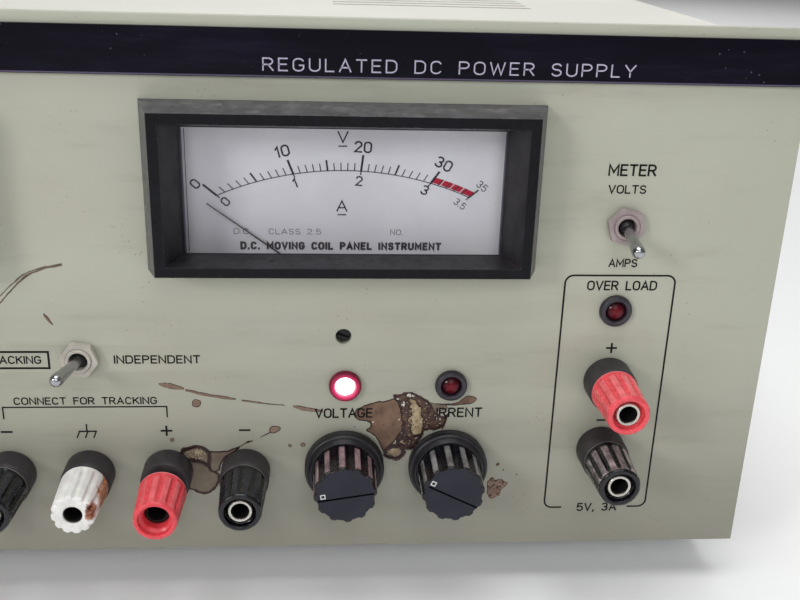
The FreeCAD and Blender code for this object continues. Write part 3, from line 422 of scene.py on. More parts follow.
def dial_plate():
    g = Graph("dial_lacquer")
    co = g.coord()
    n = g.noise(co, 26.0, 4, 0.55)
    f = g.noise(co, 1600.0, 3, 0.6)
    c = g.mix(g.ramp(n, 0.3, 0.7), lin(210, 208, 216), lin(222, 221, 228))
    c = g.mix(g.m("MULTIPLY", g.ramp(f, 0.5, 0.8), 0.12), c, lin(166, 162, 166))
    g.set(color=c, rough=0.55, spec=0.3)
    g.bump(f, 0.05, 0.00003)
    return g.mat


M["dial"] = dial_plate()


def pane():
    g = Graph("meter_pane_clear")
    co = g.coord()
    n = g.noise(co, 60.0, 4, 0.6)
    g.set(color=(0.95, 0.97, 0.98, 1), rough=g.ramp(n, 0.35, 0.75, 0.03, 0.10), trans=1.0, ior=1.12, spec=0.4, alpha=0.10)
    g.bump(g.noise(co, 500.0, 2, 0.5), 0.01, 0.00002)
    return g.mat


M["pane"] = pane()


def lamp_material(name, lit):
    g = Graph(name)
    co = g.coord()
    n = g.noise(co, 900.0, 3, 0.6)
    rings = g.new("ShaderNodeSeparateXYZ")
    g.put(rings.inputs[0], co)
    rr = g.m("SQRT", g.m("ADD", g.m("POWER", rings.outputs["X"], 2.0), g.m("POWER", rings.outputs["Z"], 2.0)))
    if lit:
        core = g.ramp(rr, 0.0021, 0.0028)
        c = g.mix(core, (1.0, 0.93, 0.95, 1), (1.0, 0.05, 0.16, 1))
        g.set(color=c, emit=c, rough=0.25)
        g.put(g.bsdf.inputs["Emission Strength"], g.ramp(rr, 0.0018, 0.0029, 7.0, 1.6))
    else:
        c = g.mix(g.ramp(g.m("ADD", rr, g.m("MULTIPLY", n, 0.0004)), 0.0006, 0.0024), lin(104, 14, 28), lin(48, 8, 18))
        g.set(color=c, rough=g.ramp(n, 0.3, 0.7, 0.12, 0.24), spec=0.22)
        g.bump(g.m("MULTIPLY", g.m("SINE", g.m("MULTIPLY", rr, 9000.0)), 0.5), 0.15, 0.00006)
    return g.mat


M["lamp_lit"] = lamp_material("lamp_lit_lens", True)
M["lamp_dark"] = lamp_material("lamp_dark_lens", False)
def lit_rim():
    g = Graph("lamp_rim_red_glow")
    co = g.coord()
    s = g.new("ShaderNodeSeparateXYZ")
    g.put(s.inputs[0], co)
    rr = g.m("SQRT", g.m("ADD", g.m("POWER", s.outputs["X"], 2.0), g.m("POWER", s.outputs["Z"], 2.0)))
    n = g.noise(co, 700.0, 3, 0.6)
    c = g.mix(g.ramp(n, 0.3, 0.7), lin(92, 16, 38), lin(120, 24, 50))
    g.set(color=c, rough=0.45, spec=0.3, emit=(0.75, 0.03, 0.14, 1))
    g.put(g.bsdf.inputs["Emission Strength"], g.ramp(rr, 0.0024, 0.0039, 0.85, 0.03))
    g.bump(n, 0.05, 0.00005)
    return g.mat


M["lamp_rim_lit"] = lit_rim()
M["film_tan"] = film_mat("film_tan", lin(130, 103, 84), lin(101, 78, 64), lin(68, 48, 42), 0.42, 190)
M["film_pale"] = film_mat("film_pale", lin(134, 122, 108), lin(118, 104, 88), lin(96, 80, 68))
M["film_olive"] = film_mat("film_olive", lin(122, 110, 95), lin(108, 95, 82), lin(86, 70, 60), 0.42, 220)
M["film_rim"] = film_mat("film_rim", lin(60, 40, 36), lin(46, 28, 28), lin(30, 17, 18), 0.35, 400)
M["film_rim_soft"] = film_mat("film_rim_soft", lin(112, 98, 84), lin(94, 80, 68), lin(74, 58, 50), 0.4, 400)
M["crust"] = film_mat("crust_dark", lin(56, 36, 36), lin(98, 76, 64), lin(28, 15, 18), 0.36, 620)
M["cream"] = film_mat("crust_cream", lin(184, 168, 138), lin(150, 130, 98), lin(96, 74, 58), 0.6, 620)
M["crust_edge"] = film_mat("crust_edge_dark", lin(48, 30, 32), lin(62, 42, 40), lin(26, 14, 18), 0.34, 620)
M["film_under"] = film_mat("film_under", lin(96, 74, 64), lin(78, 57, 50), lin(52, 34, 32), 0.42, 420)
M["film_warm"] = film_mat("film_warm", lin(140, 112, 98), lin(118, 92, 80), lin(84, 62, 54), 0.42, 420)
M["flake"] = film_mat("crust_flake", lin(226, 222, 214), lin(200, 194, 188), lin(150, 140, 136), 0.5, 700)
M["streak"] = film_mat("streak_brown", lin(140, 116, 100), lin(124, 100, 86), lin(92, 72, 62), 0.42, 300)


# ---------------------------------------------------------------- mesh helpers
def finish_mesh(name, me, mat, body="chassis", slot=None, smooth=32.0, at=None, rot=None):
    me.validate()
    bm = bmesh.new()
    bm.from_mesh(me)
    bmesh.ops.remove_doubles(bm, verts=bm.verts, dist=1e-8)
    bmesh.ops.recalc_face_normals(bm, faces=bm.faces)
    bm.to_mesh(me)
    bm.free()
    if smooth:
        me.polygons.foreach_set("use_smooth", [True] * len(me.polygons))
        me.set_sharp_from_angle(angle=math.radians(smooth))
    ob = bpy.data.objects.new(name, me)
    scene.collection.objects.link(ob)
    for x in (mat if isinstance(mat, (list, tuple)) else [mat]):
        me.materials.append(x)
    if at is not None:
        ob.location = at
    if rot is not None:
        ob.rotation_mode = "QUATERNION"
        ob.rotation_quaternion = rot
    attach(ob, body)
    return ob


def piece(name, verts, faces, mat, **kw):
    me = bpy.data.meshes.new(name)
    me.from_pydata([tuple(v) for v in verts], [], faces)
    return finish_mesh(name, me, mat, **kw)


def lathe(profile, n=96, ring=False, fn=None):
    """Turn (radius, height above the panel) points about the Y axis. Millimetres in, metres out."""
    verts, rows = [], []
    for r, h in profile:
        if r < 1e-6:
            verts.append((0, -h * 1e-3, 0))
            rows.append([len(verts) - 1])
            continue
        row = []
        for i in range(n):
            a = 2 * math.pi * i / n
            q = fn(r, h, a) if fn else r
            verts.append((q * math.cos(a) * 1e-3, -h * 1e-3, q * math.sin(a) * 1e-3))
            row.append(len(verts) - 1)
        rows.append(row)
    faces = []
    pairs = list(zip(rows, rows[1:])) + ([(rows[-1], rows[0])] if ring else [])
    for a, b in pairs:
        if len(a) == 1 and len(b) == 1:
            continue
        for i in range(n):
            j = (i + 1) % n
            if len(a) == 1:
                faces.append((a[0], b[i], b[j]))
            elif len(b) == 1:
                faces.append((a[i], b[0], a[j]))
            else:
                faces.append((a[i], b[i], b[j], a[j]))
    return verts, faces


def turn(angle, axis=(0, 1, 0)):
    from mathutils import Quaternion
    return Quaternion(Vector(axis), math.radians(angle))


def curve_mesh(splines, extrude, bevel=0.0, bevel_res=2, fill="BOTH"):
    """Closed outlines in (x, z) millimetres to a flat plate mesh standing in the XZ plane; y is minus the local z."""
    cu = bpy.data.curves.new("tmp_outline", "CURVE")
    cu.dimensions = "2D"
    cu.fill_mode = fill
    cu.extrude = extrude * 1e-3
    cu.bevel_depth = bevel * 1e-3
    cu.bevel_resolution = bevel_res
    cu.offset = -bevel * 1e-3
    for pts in splines:
        sp = cu.splines.new("POLY")
        sp.points.add(len(pts) - 1)
        for p, (x, z) in zip(sp.points, pts):
            p.co = (x * 1e-3, z * 1e-3, 0, 1)
        sp.use_cyclic_u = True
    ob = bpy.data.objects.new("tmp_outline", cu)
    scene.collection.objects.link(ob)
    dg = bpy.context.evaluated_depsgraph_get()
    me = bpy.data.meshes.new_from_object(ob.evaluated_get(dg))
    bpy.data.objects.remove(ob)
    bpy.data.curves.remove(cu)
    me.materials.clear()
    for v in me.vertices:
        x, y, z = v.co
        v.co = (x, -z, y)
    return me


def ring_pts(x, z, r, n=64):
    return [(x + r * math.cos(2 * math.pi * i / n), z + r * math.sin(2 * math.pi * i / n)) for i in range(n)]


def rect_pts(x0, z0, x1, z1, r=0.0, n=6):
    if r <= 0:
        return [(x0, z0), (x1, z0), (x1, z1), (x0, z1)]
    out = []
    for cx, cz, a0 in ((x1 - r, z0 + r, -90), (x1 - r, z1 - r, 0), (x0 + r, z1 - r, 90), (x0 + r, z0 + r, 180)):
        for i in range(n + 1):
            a = math.radians(a0 + 90.0 * i / n)
            out.append((cx + r * math.cos(a), cz + r * math.sin(a)))
    return out


def shift_mesh(me, x=0.0, y=0.0, z=0.0):
    me.transform(Matrix.Translation((x * 1e-3, y * 1e-3, z * 1e-3)))
    return me


def ribbon(name, pts, widths, y, thick, mat, closed=False, body="chassis", at=None, slot=None):
    """A flat line with a width at each point, drawn on a plane facing -Y. Points are (x, z) mm."""
    n = len(pts)
    if not hasattr(widths, "__len__"):
        widths = [widths] * n
    left, right = [], []
    for i in range(n):
        p = Vector(pts[i])
        if closed:
            a, b = Vector(pts[i - 1]), Vector(pts[(i + 1) % n])
        else:
            a = Vector(pts[i - 1]) if i else p - (Vector(pts[1]) - p)
            b = Vector(pts[i + 1]) if i < n - 1 else p + (p - Vector(pts[i - 1]))
        d0 = (p - a).normalized()
        d1 = (b - p).normalized()
        t = (d0 + d1)
        t = t.normalized() if t.length > 1e-6 else d1
        nrm = Vector((-t.y, t.x))
        c = max(0.35, nrm.dot(Vector((-d1.y, d1.x))))
        w = widths[i] * 0.5 / c
        left.append(p + nrm * w)
        right.append(p - nrm * w)
    verts = []
    o = Vector((0, y * 1e-3, 0)) if at is not None else Vector((0, (y + DY) * 1e-3, 0))
    for l, r in zip(left, right):
        for q in (l, r):
            verts.append(Vector((q.x * 1e-3, 0, q.y * 1e-3)) + o)
            verts.append(Vector((q.x * 1e-3, -thick * 1e-3, q.y * 1e-3)) + o)
    faces = []
    rngi = range(n if closed else n - 1)
    for i in rngi:
        j = (i + 1) % n
        a, b = 4 * i, 4 * j
        faces += [(a + 1, b + 1, b + 3, a + 3), (a, a + 2, b + 2, b), (a, b, b + 1, a + 1), (a + 2, a + 3, b + 3, b + 2)]
    if not closed:
        e = 4 * (n - 1)
        faces += [(0, 1, 3, 2), (e, e + 2, e + 3, e + 1)]
    return piece(name, verts, faces, mat, body=body, smooth=0, at=at, slot=slot)


def arc(cx, cy, rx, ry, a0, a1, n=12):
    return [(cx + rx * math.cos(math.radians(a0 + (a1 - a0) * i / n)), cy + ry * math.sin(math.radians(a0 + (a1 - a0) * i / n)))
            for i in range(n + 1)]


def oval(w, r):
    """A tall rounded letter outline of width w, height 1, used for O and its relatives."""
    return arc(w - r, 1 - r, r, r, 0, 90, 6) + arc(r, 1 - r, r, r, 90, 180, 6) + arc(r, r, r, r, 180, 270, 6) + arc(w - r, r, r, r, 270, 360, 6)


O_ = oval(0.62, 0.30)
GLYPH = {
    "A": (0.66, [[(0, 0), (0.33, 1), (0.66, 0)], [(0.12, 0.33), (0.54, 0.33)]]),
    "C": (0.60, [arc(0.31, 0.70, 0.29, 0.30, 25, 180, 9) + arc(0.31, 0.30, 0.29, 0.30, 180, 335, 9)]),
    "D": (0.60, [[(0, 0), (0, 1), (0.27, 1)] + arc(0.27, 0.66, 0.33, 0.34, 90, 0, 8) + arc(0.27, 0.34, 0.33, 0.34, 0, -90, 8) + [(0, 0)]]),
    "E": (0.50, [[(0.50, 1), (0, 1), (0, 0), (0.50, 0)], [(0, 0.52), (0.44, 0.52)]]),
    "F": (0.48, [[(0.48, 1), (0, 1), (0, 0)], [(0, 0.52), (0.42, 0.52)]]),
    "G": (0.62, [arc(0.31, 0.70, 0.30, 0.30, 25, 180, 9) + arc(0.31, 0.30, 0.30, 0.30, 180, 360, 12) + [(0.61, 0.46), (0.36, 0.46)]]),
    "I": (0.0, [[(0, 0), (0, 1)]]),
    "K": (0.58, [[(0, 0), (0, 1)], [(0.56, 1), (0, 0.40)], [(0.20, 0.60), (0.58, 0)]]),
    "L": (0.48, [[(0, 1), (0, 0), (0.48, 0)]]),
    "M": (0.74, [[(0, 0), (0, 1), (0.37, 0.28), (0.74, 1), (0.74, 0)]]),
    "N": (0.60, [[(0, 0), (0, 1), (0.60, 0), (0.60, 1)]]),
    "O": (0.62, [O_ + [O_[0]]]),
    "P": (0.56, [[(0, 0), (0, 1), (0.30, 1)] + arc(0.30, 0.74, 0.26, 0.26, 90, -90, 10) + [(0, 0.48)]]),
    "R": (0.58, [[(0, 0), (0, 1), (0.30, 1)] + arc(0.30, 0.74, 0.26, 0.26, 90, -90, 10) + [(0, 0.48)], [(0.30, 0.48), (0.58, 0)]]),
    "S": (0.56, [arc(0.28, 0.755, 0.26, 0.245, 20, 180, 8) + arc(0.28, 0.755, 0.26, 0.245, 180, 250, 4)
                 + arc(0.28, 0.255, 0.275, 0.255, 70, 0, 4) + arc(0.28, 0.255, 0.275, 0.255, 0, -160, 9)]),
    "T": (0.58, [[(0, 1), (0.58, 1)], [(0.29, 1), (0.29, 0)]]),
    "U": (0.60, [[(0, 1)] + arc(0.30, 0.30, 0.30, 0.30, 180, 360, 12) + [(0.60, 1)]]),
    "V": (0.64, [[(0, 1), (0.32, 0), (0.64, 1)]]),
    "W": (0.86, [[(0, 1), (0.21, 0), (0.43, 0.86), (0.65, 0), (0.86, 1)]]),
    "Y": (0.62, [[(0, 1), (0.31, 0.45), (0.62, 1)], [(0.31, 0.45), (0.31, 0)]]),
    "0": (0.56, [oval(0.56, 0.27) + [oval(0.56, 0.27)[0]]]),
    "1": (0.26, [[(0, 0.76), (0.20, 1), (0.20, 0)]]),
    "2": (0.56, [arc(0.28, 0.72, 0.27, 0.28, 165, -20, 10) + [(0, 0), (0.56, 0)]]),
    "3": (0.56, [arc(0.27, 0.755, 0.25, 0.245, 150, -90, 11), arc(0.27, 0.255, 0.28, 0.255, 90, -155, 11)]),
    "5": (0.56, [[(0.50, 1), (0.07, 1), (0.03, 0.53)] + arc(0.27, 0.32, 0.28, 0.32, 125, -150, 12)]),
    ".": (0.06, [[(0, 0.0), (0.06, 0.0)]]),
    ",": (0.06, [[(0.06, 0.05), (0.0, -0.16)]]),
    " ": (0.42, []),
}


def label(name, s, height, x=None, z=0.0, x0=None, x1=None, y=-0.03, mat=None, rot=0.0, weight=0.13, gap=0.24, thick=0.03,
          body="chassis", aspect=1.0, slot="panel_paint", slant=0.0):
    """Drafting-style lettering drawn with strokes on a plane facing -Y: centred at (x, z), or run from x0 to x1 on the base line z."""
    pen, lines = 0.0, []
    for ch in s:
        w, strokes = GLYPH[ch]
        for st in strokes:
            lines.append([(pen + a + slant * b, b) for a, b in st])
        pen += w + gap
    total = pen - gap
    t = weight * height
    if x0 is not None:
        kx = (x1 - x0 - t) / total
        ox, oz, rot = x0 + t / 2, z, 0.0
    else:
        kx = height * aspect
        ox, oz = -total * kx / 2, -height / 2
    ca, sa = math.cos(math.radians(rot)), math.sin(math.radians(rot))
    verts, faces = [], []

    def place(a, b):
        px, pz = ox + a * kx, oz + t / 2 + b * (height - t)
        if x0 is None:
            return Vector((x + px * ca - pz * sa, z + px * sa + pz * ca))
        return Vector((px, pz))

    for st in lines:
        pts = [place(a, b) for a, b in st]
        clean = [pts[0]]
        for p in pts[1:]:
            if (p - clean[-1]).length > 1e-4:
                clean.append(p)
        n = len(clean)
        if n < 2:
            continue
        closed = (clean[0] - clean[-1]).length < 1e-3
        if closed:
            clean = clean[:-1]
            n -= 1
        base = len(verts)
        for i in range(n):
            p = clean[i]
            a = clean[i - 1] if (i or closed) else p - (clean[1] - p)
            b = clean[(i + 1) % n] if (i < n - 1 or closed) else p + (p - clean[i - 1])
            d0, d1 = (p - a).normalized(), (b - p).normalized()
            tt = d0 + d1
            tt = tt.normalized() if tt.length > 1e-6 else d1
            nr = Vector((-tt.y, tt.x))
            c = max(0.45, abs(nr.dot(Vector((-d1.y, d1.x)))))
            q = p
            if not closed and i == 0:
                q = p - d1 * t * 0.35
            if not closed and i == n - 1:
                q = p + d0 * t * 0.35
            for sgn in (1, -1):
                e = q + nr * (t / 2 / c) * sgn
                verts.append(P(e.x, y, e.y))
                verts.append(P(e.x, y - thick, e.y))
        for i in range(n if closed else n - 1):
            a, b = base + 4 * i, base + 4 * ((i + 1) % n)
            faces.extend([(a + 1, b + 1, b + 3, a + 3), (a, a + 2, b + 2, b), (a, b, b + 1, a + 1), (a + 2, a + 3, b + 3, b + 2)])
        if not closed:
            e = base + 4 * (n - 1)
            faces.extend([(base, base + 1, base + 3, base + 2), (e, e + 2, e + 3, e + 1)])
    me = bpy.data.meshes.new(name)
    me.from_pydata([tuple(v) for v in verts], [], faces)
    me.validate()
    bm = bmesh.new()
    bm.from_mesh(me)
    bmesh.ops.recalc_face_normals(bm, faces=bm.faces)
    bm.to_mesh(me)
    bm.free()
    ob = bpy.data.objects.new(name, me)
    scene.collection.objects.link(ob)
    me.materials.append(mat)
    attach(ob, body)
    return ob


# ---------------------------------------------------------------- front panel
POSTS = [(-38.1, 34.9, 0.0), (-19.05, 34.9, 0.0), (0.0, 34.9, 0.0), (19.05, 34.9, 3.0), (38.1, 34.9, 0.0),
         (127.7, 59.55, 0.0), (127.7, 40.37, 0.0)]
KNOBS = [("right_voltage", 62.7, -90.0), ("right_current", 88.7, -61.0), ("left_voltage", -88.7, -75.0),
         ("left_current", -62.7, -40.0)]
LAMPS = [(62.7, 58.3, True), (-88.7, 58.3, True), (88.7, 58.3, False), (-62.7, 58.3, False), (127.7, 78.1, False)]
TOGGLES = [("tracking", 0.0, 65.7, 8.0), ("left_meter", -127.7, 99.5, -11.0), ("right_meter", 127.7, 99.5, 14.0)]
MID = 62.2

outlines = [rect_pts(-166.5, 12, 166.5, 145)]
for x, z, _ in POSTS:
    outlines.append(ring_pts(x, z, 4.0))
for _, x, z, _ in TOGGLES:
    outlines.append(ring_pts(x, z, 3.1))
for x, z, _ in LAMPS:
    outlines.append(ring_pts(x, z, 3.2))
for _, x, _ in KNOBS:
    outlines.append(ring_pts(x, 36.3, 3.7))
for s in (1, -1):
    outlines.append(ring_pts(MID * s, 71.2, 1.9))
    outlines.append(rect_pts(MID * s - 37.2, 91.1, MID * s + 37.2, 122.3))
outlines.append(rect_pts(-127.7 - 6.7, 42.3, -127.7 + 6.7, 61.7))
me = curve_mesh(outlines, 1.25 - 0.18, 0.18, 2)
shift_mesh(me, y=1.25 + DY)
panel = finish_mesh("panel_sheet", me, M["panel"], slot="panel_paint", smooth=40)
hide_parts("front_panel")

# nameplate strip and the fine bright line along its lower edge
lo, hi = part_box("nameplate_strip")
ob = NODES["nameplate_strip"]
ribbon("strip_edge_line", [(-166.2, 132.62), (166.2, 132.62)], 0.30, -1.0, 0.04, M["trim_line"], slot="strip_black")
ribbon("strip_lower_gap", [(-166.3, 132.30), (166.3, 132.30)], 0.22, -0.0, 0.05, M["film_rim"], slot="strip_black")


# ---------------------------------------------------------------- meters
def rect_loop(hx, z0, z1, y, r=0.0, n=4):
    return [(x, y, z) for x, z in rect_pts(-hx, z0, hx, z1, r, n)]


def loft_ring(name, loops, mats, mids, x, **kw):
    verts, faces, idx = [], [], []
    n = len(loops[0])
    for lp in loops:
        for (px, y, pz) in lp:
            verts.append(P(px + x, y, pz))
    for k in range(len(loops)):
        a, b = k * n, ((k + 1) % len(loops)) * n
        for i in range(n):
            j = (i + 1) % n
            faces.append((a + i, a + j, b + j, b + i))
            idx.append(mids[k])
    me = bpy.data.meshes.new(name)
    me.from_pydata([tuple(v) for v in verts], [], faces)
    me.polygons.foreach_set("material_index", idx)
    ob = finish_mesh(name, me, mats, **kw)
    return ob


def bevel(ob, width, segments=2, angle=30.0):
    md = ob.modifiers.new("edge", "BEVEL")
    md.width = width * 1e-3
    md.segments = segments
    md.limit_method = "ANGLE"
    md.angle_limit = math.radians(angle)
    md.harden_normals = True
    return ob


for s, side in ((1, "right"), (-1, "left")):
    hx, z0, z1 = 44.9, 88.1, 127.2
    loops = [rect_loop(hx, z0, z1, 0.0), rect_loop(hx, z0, z1, -0.5), rect_loop(hx - 2.9, z0 + 1.3, z1 - 1.3, -9.6),
             rect_loop(hx - 5.2, z0 + 3.6, z1 - 3.6, -9.6),
             rect_loop(hx - 5.9, z0 + 3.75, z1 - 4.1, -8.3),
             rect_loop(hx - 8.45, z0 + 4.15, z1 - 5.55, -1.35), rect_loop(hx - 8.8, z0 + 4.3, z1 - 5.9, -1.1),
             rect_loop(hx - 8.8, z0 + 4.0, z1 - 5.9, 0.0)]
    ob = loft_ring("meter_bezel_" + side, loops, [M["bezel_slope"], M["bezel_rim"], M["inner"], M["bezel"]],
                   [0, 0, 1, 2, 2, 2, 2, 3], MID * s, slot="gloss_black_plastic", smooth=30)
    bevel(ob, 0.28, 2, 20)
    # small moulded lug on the lower ledge
    v, f = lathe([(0, 5.6), (0.9, 5.6), (1.25, 5.2), (1.25, 3.0), (0, 3.0)], 24)
    v = [(a, b, c) for a, b, c in v]
    lug = piece("meter_lug_" + side, v, f, M["inner"], at=P(MID * s - 16.5, 0, z0 + 3.3), slot="gloss_black_plastic")
    lug.scale = (1, 1, 0.75)
    # pane
    me = curve_mesh([rect_pts(MID * s - 37, 91.3, MID * s + 37, 122.1, 1.0)], 0.42, 0.08, 1)
    shift_mesh(me, y=-0.55 + DY)
    pn = finish_mesh("meter_pane_" + side, me, M["pane"], slot="meter_pane", smooth=40)
    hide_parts("meter_windows")
    # painted highlights: thin bright lines beside the dial, with a dark line between them, stand in for light reflected
    # on the pane's frame edges
    for k, (dx, w) in enumerate(((-36.0, 0.28), (-35.3, 0.16), (35.9, 0.22))):
        ribbon("pane_edge_glint_%s_%d" % (side, k), [(MID * s + dx, 92.8), (MID * s + dx, 121.0)], w, -1.06, 0.05,
               M["trim_line"] if k != 1 else M["bezel"], slot="gloss_black_plastic")
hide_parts("meter_bezels")

# dial art
AX, AZ = 0.0, 80.1          # needle pivot
CX, CZ, CR = 0.0, 38.5, 72.3  # arc of the scale's base line (row heights)


def arc_hit(theta):
    """The point of the base arc that a ray from the pivot at theta (degrees from vertical) meets."""
    t = math.radians(theta)
    dx, dz = math.sin(t), math.cos(t)
    ox, oz = AX - CX, AZ - CZ
    b = ox * dx + oz * dz
    c = ox * ox + oz * oz - CR * CR
    k = -b + math.sqrt(b * b - c)
    return AX + k * dx, AZ + k * dz, dx, dz


def dial(s, side):
    y = 3.97
    cx = MID * s
    th = lambda v: -50.0 + 2.846 * v
    pts = [arc_hit(th(v * 0.5)) for v in range(0, 71)]
    ribbon("dial_arc_" + side, [(cx + p[0], p[1]) for p in pts], 0.22, y + 0.02, 0.02, M["dial_ink"], slot="dial_silver")
    verts, faces = [], []

    def bar(x0, z0, x1, z1, w, deep=0.03):
        d = Vector((x1 - x0, z1 - z0)).normalized()
        nx, nz = -d.y * w / 2, d.x * w / 2
        b = len(verts)
        for px, pz in ((x0 + nx, z0 + nz), (x0 - nx, z0 - nz), (x1 - nx, z1 - nz), (x1 + nx, z1 + nz)):
            verts.append(P(cx + px, y, pz))
            verts.append(P(cx + px, y + deep, pz))
        faces.extend([(b, b + 2, b + 4, b + 6), (b + 1, b + 7, b + 5, b + 3), (b, b + 1, b + 3, b + 2),
                      (b + 2, b + 3, b + 5, b + 4), (b + 4, b + 5, b + 7, b + 6), (b + 6, b + 7, b + 1, b)])

    for v in range(0, 36):
        px, pz, dx, dz = arc_hit(th(v))
        ln, w = 1.8, 0.24
        if v in (0, 10, 20, 30):
            ln, w = {0: 4.0, 10: 3.5, 20: 3.8, 30: 3.4}[v], 0.50
        elif v == 35:
            ln, w = 2.8, 0.40
        elif v % 5 == 0:
            ln, w = 2.5, 0.42
        bar(px, pz, px + dx * ln, pz + dz * ln, w)
    # amperes: short marks below the base line at the whole numbers
    for a in (0, 10, 20, 30, 35):
        px, pz, dx, dz = arc_hit(th(a))
        bar(px, pz, px - dx * 0.9, pz - dz * 0.9, 0.3)
    piece("dial_ticks_" + side, verts, faces, M["dial_ink"], smooth=0, slot="dial_silver")
    verts, faces = [], []
    for k in range(0, 12):
        v0 = 30 + k * 5 / 12.0
        a = arc_hit(th(v0))
        b = arc_hit(th(v0 + 5 / 12.0 - (0.10 if k % 3 == 2 else 0.0)))
        o = 0.25
        q = [(a[0] + a[2] * o, a[1] + a[3] * o), (b[0] + b[2] * o, b[1] + b[3] * o),
             (b[0] + b[2] * 1.75, b[1] + b[3] * 1.75), (a[0] + a[2] * 1.75, a[1] + a[3] * 1.75)]
        i = len(verts)
        for px, pz in q:
            verts.append(P(cx + px, y + 0.012, pz))
            verts.append(P(cx + px, y + 0.03, pz))
        faces.extend([(i, i + 2, i + 4, i + 6), (i + 1, i + 7, i + 5, i + 3), (i, i + 1, i + 3, i + 2),
                      (i + 2, i + 3, i + 5, i + 4), (i + 4, i + 5, i + 7, i + 6), (i + 6, i + 7, i + 1, i)])
    piece("dial_red_band_" + side, verts, faces, M["dial_red"], smooth=0, slot="dial_silver")
    D = dict(y=y + 0.03, mat=M["dial_ink"], thick=0.03, slot="dial_silver")
    for s_, x, z, h, t in (("0", 28.2, 107.3, 2.5, 50), ("10", 48.0, 115.1, 2.75, 14), ("20", 66.3, 116.3, 2.7, -3),
                           ("30", 84.9, 112.6, 2.7, -26), ("35", 94.1, 107.45, 1.8, -40),
                           ("0", 34.9, 103.2, 2.3, 48), ("1", 50.85, 107.75, 2.4, 20), ("2", 65.5, 108.4, 2.4, -4),
                           ("3", 80.75, 106.4, 2.4, -26), ("3.5", 89.1, 103.15, 1.7, -36)):
        label("dial_no_%s_%s_%d" % (side, s_.replace(".", "p"), int(z)), s_, h, x=cx + x - MID, z=z, rot=t,
              weight=0.15 if h > 2 else 0.12, **D)
    for s_, x, z in (("V", 61.7, 118.55), ("A", 61.6, 102.4)):
        label("dial_unit_%s_%s" % (side, s_), s_, 2.75, x=cx + x - MID, z=z, aspect=1.25, weight=0.12, **D)
        ribbon("dial_bar_%s_%s" % (side, s_), [(cx + x - MID - 1.0, z - 2.1), (cx + x - MID + 1.0, z - 2.1)], 0.30, y + 0.03, 0.03,
               M["dial_ink"], slot="dial_silver")
    label("dial_class_" + side, "D.C.   CLASS 2.5", 1.35, z=95.45, x0=cx + 36.6 - MID, x1=cx + 56.8 - MID, weight=0.10, **D)
    label("dial_serial_" + side, "NO.", 1.35, z=95.45, x0=cx + 73 - MID, x1=cx + 76 - MID, weight=0.10, **D)
    D["mat"] = M["dial_grey"]
    label("dial_foot_" + side, "D.C. MOVING COIL PANEL INSTRUMENT", 2.0, z=91.65, x0=cx + 38 - MID, x1=cx + 85.2 - MID, weight=0.27, gap=0.42, **D)


for s, side in ((1, "right"), (-1, "left")):
    dial(s, side)
    # pointer, upright here, then leaned back to zero; tube near the hub, hair-thin at the tip
    v, f = [], []
    for zz, w in ((-5.3, 0.8), (-1.0, 0.8), (2.2, 0.42), (20.0, 0.30), (38.9, 0.17)):
        for sx in (-0.5, 0.5):
            for yy in (-0.17, 0.17):
                v.append((sx * w * 1e-3, yy * 1e-3, zz * 1e-3))
    for k in range(4):
        a, b = 4 * k, 4 * k + 4
        f += [(a, b, b + 2, a + 2), (a + 1, a + 3, b + 3, b + 1), (a, a + 1, b + 1, b), (a + 2, b + 2, b + 3, a + 3)]
    f += [(0, 2, 3, 1), (16, 17, 19, 18)]
    nd = piece("needle_blade_" + side, v, f, M["needle"], body="needle_%s_body" % side, at=P(MID * s, 3.05, 80.1), rot=turn(-54.0), smooth=0,
               slot="needle_black")
    hv, hf = lathe([(0, -5.95), (2.4, -5.95), (2.4, 0.1), (2.2, 0.3), (0, 0.3)], 40)
    piece("needle_hub_" + side, hv, hf, M["needle"], body="needle_%s_body" % side, at=P(MID * s, 3.05, 80.1), slot="needle_black")
    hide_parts("needle_" + side)


# ---------------------------------------------------------------- terminals
def fluted(depth, frac, count, h0, h1, nose=1.0, fade=3.0, sharp=1.0, turned=0.0):
    """Radius modulation: soft flutes from h0 to h1 that fade to `nose` of their depth over the last `fade` mm."""
    def fn(r, h, a):
        if h < h0 or h > h1:
            return r
        d = ((a + turned) * count / (2 * math.pi)) % 1.0
        d = min(d, 1.0 - d) * 2.0
        if d >= frac:
            return r
        k = min(1.0, (h - h0) / 0.8)
        t = max(0.0, min(1.0, (h - (h1 - fade)) / (fade * 0.8)))
        k *= 1.0 + (nose - 1.0) * t * t * (3 - 2 * t)
        return r - (0.5 + 0.5 * math.cos(math.pi * d / frac)) ** sharp * depth * k
    return fn


def cap_profile(mouth, lip):
    p = [(3.0, 7.05), (5.35, 7.05), (5.62, 7.15), (5.68, 7.5), (5.60, 7.75), (5.56, 8.1)]
    for k in range(1, 17):
        t = k / 16.0
        p.append((5.62 + (5.08 - 5.62) * t, 8.1 + (18.9 - 8.1) * t))
    p += [(5.04, 19.12), (4.92, 19.36), (4.70, 19.53), (4.42, 19.6)]
    if lip:
        p += [(2.75, 19.6), (2.45, 19.55), (2.25, 19.4), (2.22, 19.1), (2.6, 18.98), (3.0, 18.96)]
    else:
        p += [(mouth + 0.25, 19.58), (mouth + 0.06, 19.45), (mouth, 19.2), (mouth - 0.05, 18.2), (3.2, 17.8), (3.0, 17.5)]
    return p


